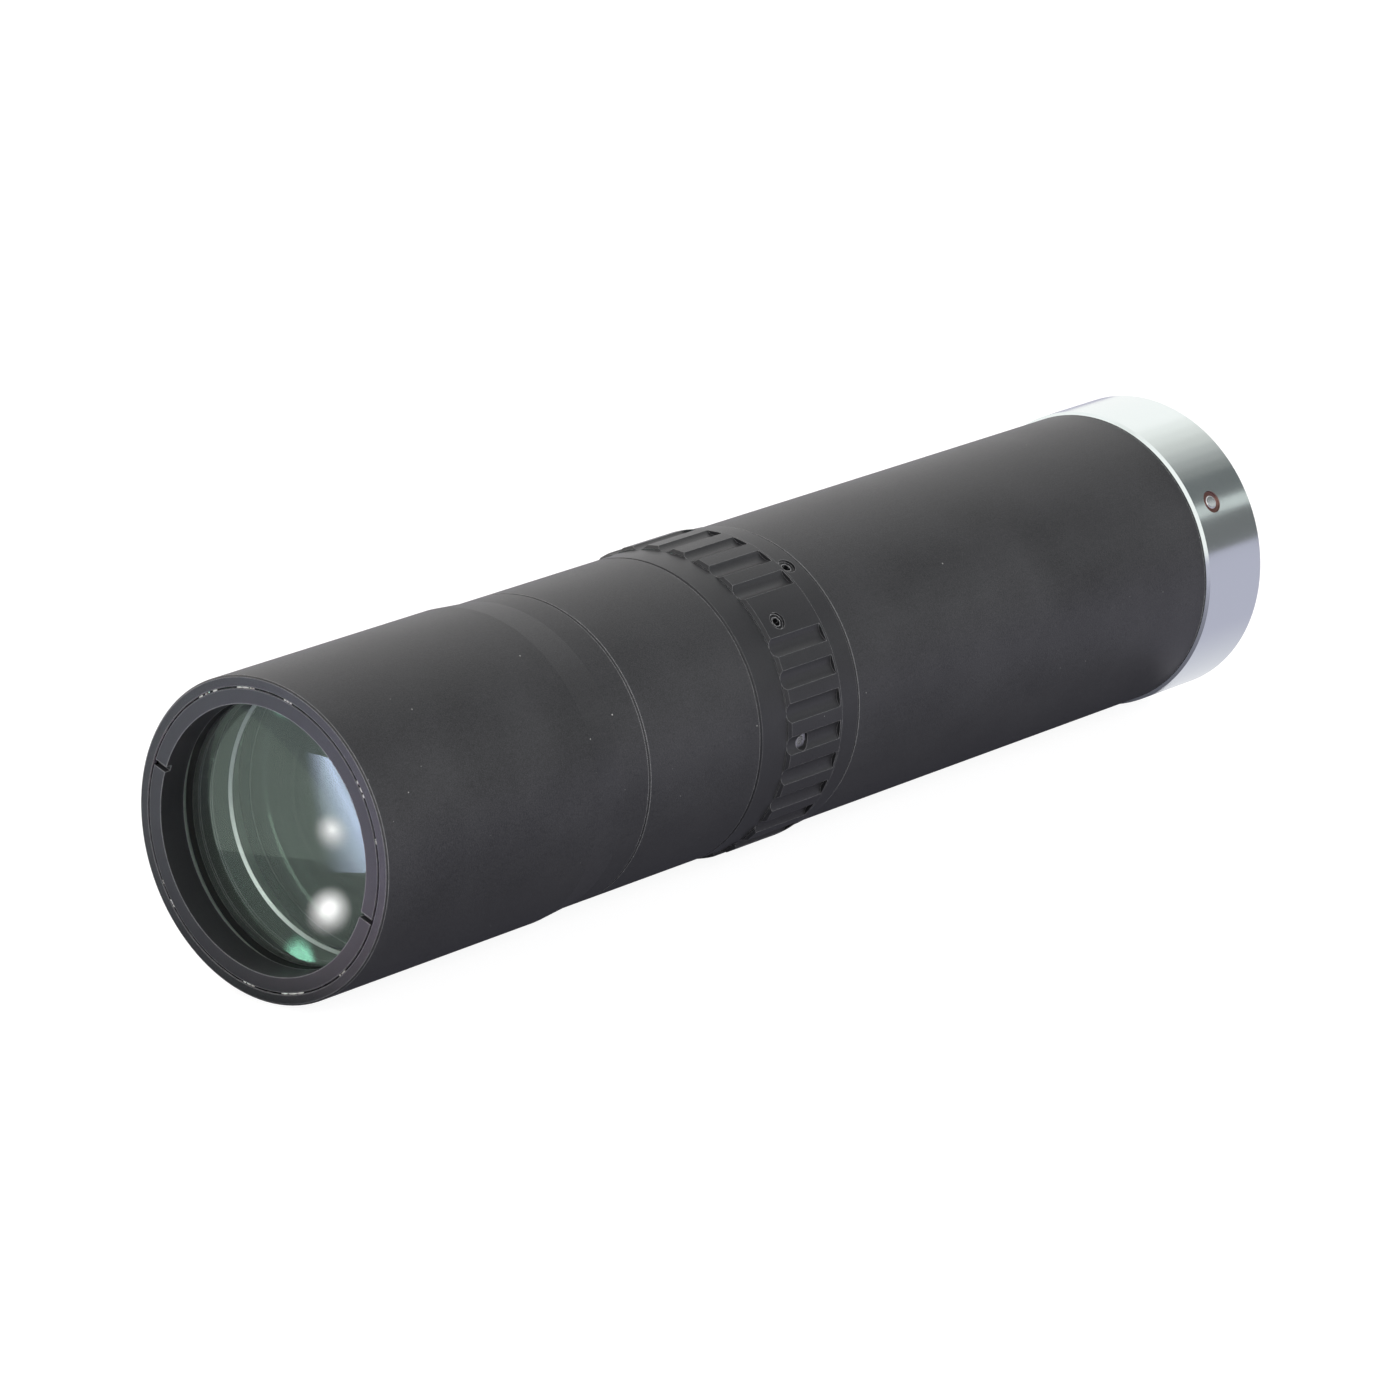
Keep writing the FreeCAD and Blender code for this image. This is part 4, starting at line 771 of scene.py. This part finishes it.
class LENS_OT_front_doublet(bpy.types.Operator):
    """Build the cemented front doublet as one piece of glass, with its bevel"""

    bl_idname = "lens.front_doublet"
    bl_label = "Front Doublet"

    def execute(self, context):
        glass = context.scene.lens_glass
        back = FLINT[1].x
        cap_front = CROWN_FRONT - glass.bevel_width
        cap_angle = math.asin(glass.cap_radius / glass.front_curve)
        front_centre = cap_front + glass.front_curve * math.cos(cap_angle)
        back_angle = math.asin(glass.back_cap_radius / glass.back_curve)
        back_rise = glass.back_curve * (1 - math.cos(back_angle))
        back_plane = back - back_rise
        back_centre = back - glass.back_curve
        rim = glass.cap_radius + glass.bevel_width
        outline = Outline(front_centre - glass.front_curve, 0).arc(front_centre, -cap_angle)
        outline.line(CROWN_FRONT, rim).line(CROWN_FRONT, GLASS_RADIUS)
        outline.line(back_plane, GLASS_RADIUS).line(back_plane, glass.back_cap_radius)
        outline.arc(back_centre, -back_angle)
        coated = bpy.data.materials["Coated Glass"]
        doublet = new_piece("front_doublet", outline.turned(), coated, "barrel")
        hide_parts("front_crown_lens", "front_flint_lens")

        depth = glass.paint_thickness
        # The edge paint is lightened and tinted green: painted light on a band that lies in
        # shade.
        paint = ground_glass("Lens Edge Paint With Painted Light", glass.edge_paint_and_painted_light_colour, 0.5)
        first = hoop(FIRST_LENS_FRONT + depth, FIRST_LENS_BACK - depth, GLASS_RADIUS - depth,
                     GLASS_RADIUS - depth / 4)
        new_piece("front_lens_edge_paint_with_painted_light", first, paint, "barrel")
        second = Outline(CROWN_FRONT + depth / 4, rim + depth)
        second.line(CROWN_FRONT + depth / 4, GLASS_RADIUS - depth / 4)
        second.line(back_plane - depth, GLASS_RADIUS - depth / 4)
        second.line(back_plane - depth, GLASS_RADIUS - depth)
        second.line(CROWN_FRONT + depth, GLASS_RADIUS - depth)
        second.line(CROWN_FRONT + depth, rim + depth).line(CROWN_FRONT + depth / 4, rim + depth)
        new_piece("front_doublet_edge_paint_with_painted_light", second.turned(), paint, "barrel")

        front = CROWN_FRONT - glass.shim_width
        outer = GLASS_RADIUS - glass.rim_width
        inner = (outer + 2 * glass.cap_radius) / 3
        shim = Outline(front, outer).line(cap_front, inner)
        shim.line(CROWN_FRONT - depth, outer).line(front, outer)
        metal = bright_metal("Shim Aluminium", glass.shim_colour, 0.45, 5000.0, 0.3)
        new_piece("front_doublet_shim", shim.turned(), metal, "barrel")
        return {"FINISHED"}


class LENS_OT_thread_adhesive_and_shade(bpy.types.Operator):
    """Lay dried adhesive, its white partly painted glints, in the groove round the front
    retaining ring, and a black ring of painted shade in its gap
    """

    bl_idname = "lens.thread_adhesive"
    bl_label = "Thread Adhesive And Painted Shade"

    def execute(self, context):
        bm = bmesh.new()
        # Flecks of dried adhesive, their white partly painted glints.
        for angle, arc, thickness in ADHESIVE_AND_GLINTS:
            widths = [FLECK_TAPER * thickness]
            widths += [thickness * (0.8 + 0.2 * math.sin(2.3 * step))
                       for step in range(FLECK_STEPS)]
            widths.append(FLECK_TAPER * thickness)
            adhesive_bead(bm, RETAINER[0].x + thickness * 1.05, RETAINER_RADIUS,
                          math.radians(90 - angle - arc / 2), math.radians(arc), widths)
        new_piece("thread_adhesive", bm, dried_adhesive_and_glints("Dried Adhesive With Painted Glints"), "barrel",
                  60.0)
        # A near-black ring in the thread gap: painted shade where the recess is dark.
        bm = bmesh.new()
        widths = [GAP_SHADE_THICKNESS + GAP_SHADE_SWING * math.sin(0.9 * step) * math.sin(2.7 * step)
                  for step in range(GAP_SHADE_STEPS)]
        adhesive_bead(bm, RETAINER[0].x + GAP_SHADE_DEPTH, RETAINER_RADIUS, 0, COMPLETE_TURN,
                      widths)
        gap_shade = anodised("Black Painted Gap Shade", (0.002, 0.002, 0.002), 0.25,
                           (0.0004, 0.2, 3.0), (800.0, 0.1, 0.0), (0.0001, 0.0, (0, 0, 0)), 0.1)
        shader = gap_shade.node_tree.nodes["Principled BSDF"]
        shader.inputs["Specular IOR Level"].default_value = 0.10
        new_piece("thread_gap_shade", bm, gap_shade, "barrel", 60.0)
        return {"FINISHED"}


class LENS_OT_camera_thread(bpy.types.Operator):
    """Cut the camera thread on the neck of the mount ring"""

    bl_idname = "lens.camera_thread"
    bl_label = "Camera Thread"

    def execute(self, context):
        mount = context.scene.lens_mount
        crest = mount.thread_radius
        root = crest - mount.thread_depth
        end = MOUNT[1].x
        bm = bmesh.new()
        bm.from_mesh(frame["nodes"]["mount_ring"].data)
        bmesh.ops.remove_doubles(bm, verts=bm.verts[:], dist=5 * MERGE_DISTANCE)
        neck = [vert for vert in bm.verts
                if root < vert.co.yz.length < crest * 1.001 and vert.co.x > end - 0.006]
        if not neck:
            raise RuntimeError("the neck of the mount ring was not found")
        bmesh.ops.scale(bm, vec=(1, root / crest, root / crest), verts=neck)
        pitch = mount.thread_pitch
        start = end - (mount.thread_turns + 0.9) * pitch
        ridge = [bm.verts.new((start, 0, root))]
        for x, radius in ((start + 0.4 * pitch, crest), (start + 0.5 * pitch, crest),
                          (start + 0.9 * pitch, root)):
            made = bmesh.ops.extrude_vert_indiv(bm, verts=[ridge[-1]])
            made["verts"][0].co = (x, 0, radius)
            ridge.append(made["verts"][0])
        edges = list({edge for vert in ridge for edge in vert.link_edges})
        bmesh.ops.spin(
            bm, geom=ridge + edges, cent=(0, 0, 0), axis=(1, 0, 0),
            dvec=(pitch / ROUND_STEPS, 0, 0), angle=COMPLETE_TURN * mount.thread_turns,
            steps=ROUND_STEPS * mount.thread_turns, use_merge=False, use_duplicate=False)
        piece = new_piece("threaded_mount_ring", bm, bpy.data.materials["Satin Chrome"],
                          "mount")
        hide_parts("mount_ring")
        return {"FINISHED"}


class LENS_OT_mount_pins(bpy.types.Operator):
    """Set a bright pin on the end of each of the mount's set screws"""

    bl_idname = "lens.mount_pins"
    bl_label = "Mount Pins"

    def execute(self, context):
        mount = context.scene.lens_mount
        low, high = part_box("mount_set_screws")
        station = (low.x + high.x) / 2
        top = MOUNT[1].z - mount.pin_recess
        bm = bmesh.new()
        bmesh.ops.create_cone(
            bm, cap_ends=True, segments=48, radius1=mount.pin_radius,
            radius2=mount.pin_radius, depth=mount.pin_length,
            matrix=Matrix.Translation((station, 0, top - mount.pin_length / 2)))
        rim = [edge for edge in bm.edges
               if all(vert.co.z > top - mount.pin_length / 2 for vert in edge.verts)]
        bmesh.ops.bevel(bm, geom=rim, offset=mount.pin_length * 0.8, offset_type="OFFSET",
                        segments=5, profile=0.5, affect="EDGES", material=-1)
        count = mount.screws_round
        bmesh.ops.spin(
            bm, geom=bm.verts[:] + bm.edges[:] + bm.faces[:], cent=(0, 0, 0), axis=(1, 0, 0),
            angle=COMPLETE_TURN * (count - 1) / count, steps=count - 1, use_duplicate=True)
        bmesh.ops.rotate(bm, verts=bm.verts[:], cent=(0, 0, 0), matrix=Matrix.Rotation(
            math.radians(90 - mount.screw_angle), 3, "X"))
        steel = bright_metal("Polished Pin", (0.97, 0.97, 0.97), 0.22, 5000.0, 0.0)
        new_piece("mount_screw_pins", bm, steel, "mount")
        return {"FINISHED"}


class LENS_OT_stage(bpy.types.Operator):
    """Set up the pale floor, the soft studio light, the cards and the camera"""

    bl_idname = "lens.stage"
    bl_label = "Studio"

    def execute(self, context):
        studio = context.scene.lens_studio
        self.floor()
        self.room(context, studio)
        for name, place, size, colour in LAMPS:
            level = getattr(studio, f"{name}_level")
            self.lamp(f"{name}_light", place, size, level, colour)
        for name, low, high, colour in LONG_CARDS:
            self.long_card(studio, name, low, high, colour)
        self.card("under_card", UNDER_SIZE, UNDER_COLOUR, (0, 0, FLOOR_LEVEL + CARD_LIFT / 2))
        barrels = MOUNT[0].x - CAD_BOX[0].x
        level = FLOOR_LEVEL + CARD_LIFT
        # Painted shadow: a dark card under the barrels that reflections show as the lens's shadow
        # on the floor.
        self.card("painted_shadow_card", (barrels + PAINTED_SHADOW_MARGIN, PAINTED_SHADOW_WIDTH), PAINTED_SHADOW_COLOUR,
                  (MOUNT[0].x - barrels / 2 - PAINTED_SHADOW_MARGIN / 3, 0, level), soft="across")
        self.card("mount_card", MOUNT_CARD_SIZE, WHITE,
                  (MOUNT[0].x + MOUNT_CARD_SIZE[0] / 2 + 0.01, 0, level), soft="across")
        for name, place, size, turn, colour, soft in FRONT_CARDS:
            level += CARD_LIFT
            self.card(name, size, colour, (*place, level), (0, 0, math.radians(turn)), soft)
        mint = self.card("mint_highlight", MINT_SIZE, MINT_COLOUR, MINT_PLACE,
                         (0, math.pi / 2, 0), "round")
        mint.visible_transmission = True
        self.camera(context, studio)
        return {"FINISHED"}

    def floor(self):
        """A white floor that keeps a soft contact shadow."""
        bm = bmesh.new()
        bmesh.ops.create_grid(bm, x_segments=1, y_segments=1, size=FLOOR_SIZE)
        mesh = bpy.data.meshes.new("floor")
        bm.to_mesh(mesh)
        bm.free()
        material, tree = bare_material("White Floor")
        matt = node(tree, "ShaderNodeBsdfDiffuse")
        matt.inputs["Color"].default_value = (*FLOOR_COLOUR, 1.0)
        glow = node(tree, "ShaderNodeEmission")
        glow.inputs["Color"].default_value = (*WHITE, 1.0)
        join(tree, maths(tree, "MULTIPLY", rays_that_see(tree), FLOOR_GLOW),
             glow.inputs["Strength"])
        both = node(tree, "ShaderNodeAddShader")
        join(tree, matt.outputs[0], both.inputs[0])
        join(tree, glow.outputs[0], both.inputs[1])
        out = node(tree, "ShaderNodeOutputMaterial")
        join(tree, both.outputs[0], out.inputs["Surface"])
        mesh.materials.append(material)
        floor = bpy.data.objects.new("floor", mesh)
        floor.location.z = FLOOR_LEVEL
        bpy.context.scene.collection.objects.link(floor)

    def room(self, context, studio):
        """White surroundings for the camera and for reflections, softer for matt surfaces."""
        world = bpy.data.worlds.new("White Room")
        context.scene.world = world
        world.use_nodes = True
        tree = world.node_tree
        back = tree.nodes["Background"]
        back.inputs["Color"].default_value = (*WHITE, 1.0)
        seen = rays_that_see(tree)
        rest = maths(tree, "MULTIPLY", maths(tree, "SUBTRACT", 1.0, seen), studio.fill_level)
        join(tree, maths(tree, "ADD", seen, rest), back.inputs["Strength"])

    def lamp(self, name, place, size, level, colour):
        """A soft square lamp that faces the middle of the lens, left out of reflections."""
        light = bpy.data.lights.new(name, "AREA")
        light.size = size
        light.color = colour
        light.energy = level * size * size * math.pi
        lamp = bpy.data.objects.new(name, light)
        lamp.location = MIDDLE + Vector(place)
        lamp.rotation_euler = (MIDDLE - lamp.location).to_track_quat("-Z", "Y").to_euler()
        lamp.visible_camera = False
        lamp.visible_glossy = False
        bpy.context.scene.collection.objects.link(lamp)

    def card(self, name, size, colour, place, turn=(0, 0, 0), soft=None):
        """A flat card that only reflections show, faded across or all round if asked."""
        bm = bmesh.new()
        bmesh.ops.create_grid(bm, x_segments=1, y_segments=1, size=0.5)
        bmesh.ops.scale(bm, vec=(*size, 1), verts=bm.verts[:])
        mesh = bpy.data.meshes.new(name)
        bm.to_mesh(mesh)
        bm.free()
        material, tree = bare_material(name.replace("_", " ").title())
        glow = node(tree, "ShaderNodeEmission")
        glow.inputs["Color"].default_value = (*colour, 1.0)
        surface = glow.outputs[0]
        if soft:
            spread = node(tree, "ShaderNodeVectorMath", operation="MULTIPLY")
            along = 2 / size[0] if soft == "round" else 0
            spread.inputs[1].default_value = (along, 2 / size[1], 0)
            join(tree, node(tree, "ShaderNodeTexCoord").outputs["Object"], spread.inputs[0])
            length = node(tree, "ShaderNodeVectorMath", operation="LENGTH")
            join(tree, spread.outputs[0], length.inputs[0])
            fade = maths(tree, "SUBTRACT", 1.0, length.outputs["Value"], clamp=True)
            clear = node(tree, "ShaderNodeBsdfTransparent")
            mix = node(tree, "ShaderNodeMixShader")
            join(tree, maths(tree, "POWER", fade, 1.5), mix.inputs[0])
            join(tree, clear.outputs[0], mix.inputs[1])
            join(tree, surface, mix.inputs[2])
            surface = mix.outputs[0]
        out = node(tree, "ShaderNodeOutputMaterial")
        join(tree, surface, out.inputs["Surface"])
        mesh.materials.append(material)
        card = bpy.data.objects.new(name, mesh)
        card.location = place
        card.rotation_euler = turn
        card.visible_camera = False
        card.visible_diffuse = False
        card.visible_shadow = False
        card.visible_transmission = soft is None
        bpy.context.scene.collection.objects.link(card)
        return card

    def long_card(self, studio, name, low, high, colour):
        """A long card beside the lens, between two angles round the axis from the near side."""
        middle = math.radians((low + high) / 2)
        reach = studio.card_distance
        width = 2 * reach * math.tan(math.radians(high - low) / 2)
        place = Vector((studio.card_length / 2 - 0.6, -math.cos(middle) * reach,
                        math.sin(middle) * reach))
        self.card(name, (studio.card_length, width), colour, place,
                  (math.pi / 2 - middle, 0, 0))

    def camera(self, context, studio):
        """The photograph's viewpoint."""
        data = bpy.data.cameras.new("camera")
        data.sensor_width = 36.0
        data.lens = studio.lens_length / 10
        data.clip_start = 0.05
        camera = bpy.data.objects.new("camera", data)
        camera.location = CAMERA_PLACE
        camera.rotation_euler = (
            math.radians(90 - CAMERA_ELEVATION), 0, math.radians(CAMERA_AZIMUTH))
        context.scene.collection.objects.link(camera)
        context.scene.camera = camera
        context.scene.view_settings.view_transform = "Standard"


class LENS_PT_panel(bpy.types.Panel):
    """Sidebar panel with the steps in order"""

    bl_idname = "LENS_PT_panel"
    bl_label = "Telecentric Lens"
    bl_space_type = "VIEW_3D"
    bl_region_type = "UI"
    bl_category = "Lens"

    def draw(self, context):
        for name in STEPS:
            self.layout.operator(name)
        for group in SETTINGS:
            settings = getattr(context.scene, group)
            for field in settings.__annotations__:
                self.layout.prop(settings, field)


STEPS = ("lens.finish_parts", "lens.end_lenses", "lens.front_doublet",
         "lens.thread_adhesive", "lens.camera_thread", "lens.mount_pins",
         "lens.stage")
SETTINGS = {
    "lens_barrel": BarrelFinish,
    "lens_glass": GlassFinish,
    "lens_mount": MountFinish,
    "lens_studio": StudioLight,
}
CLASSES = (*SETTINGS.values(), LENS_OT_finish_parts, LENS_OT_end_lenses,
           LENS_OT_front_doublet, LENS_OT_thread_adhesive_and_shade, LENS_OT_camera_thread,
           LENS_OT_mount_pins, LENS_OT_stage, LENS_PT_panel)


def register():
    """Register the classes and hang the settings on the scene."""
    for item in CLASSES:
        bpy.utils.register_class(item)
    for name, group in SETTINGS.items():
        setattr(bpy.types.Scene, name, PointerProperty(type=group))


def unregister():
    """Take the settings and the classes away again."""
    for name in SETTINGS:
        delattr(bpy.types.Scene, name)
    for item in reversed(CLASSES):
        bpy.utils.unregister_class(item)


def main():
    """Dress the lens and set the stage."""
    register()
    bpy.ops.lens.finish_parts()
    bpy.ops.lens.end_lenses()
    bpy.ops.lens.front_doublet()
    bpy.ops.lens.thread_adhesive()
    bpy.ops.lens.camera_thread()
    bpy.ops.lens.mount_pins()
    bpy.ops.lens.stage()


if __name__ == "__main__":
    main()
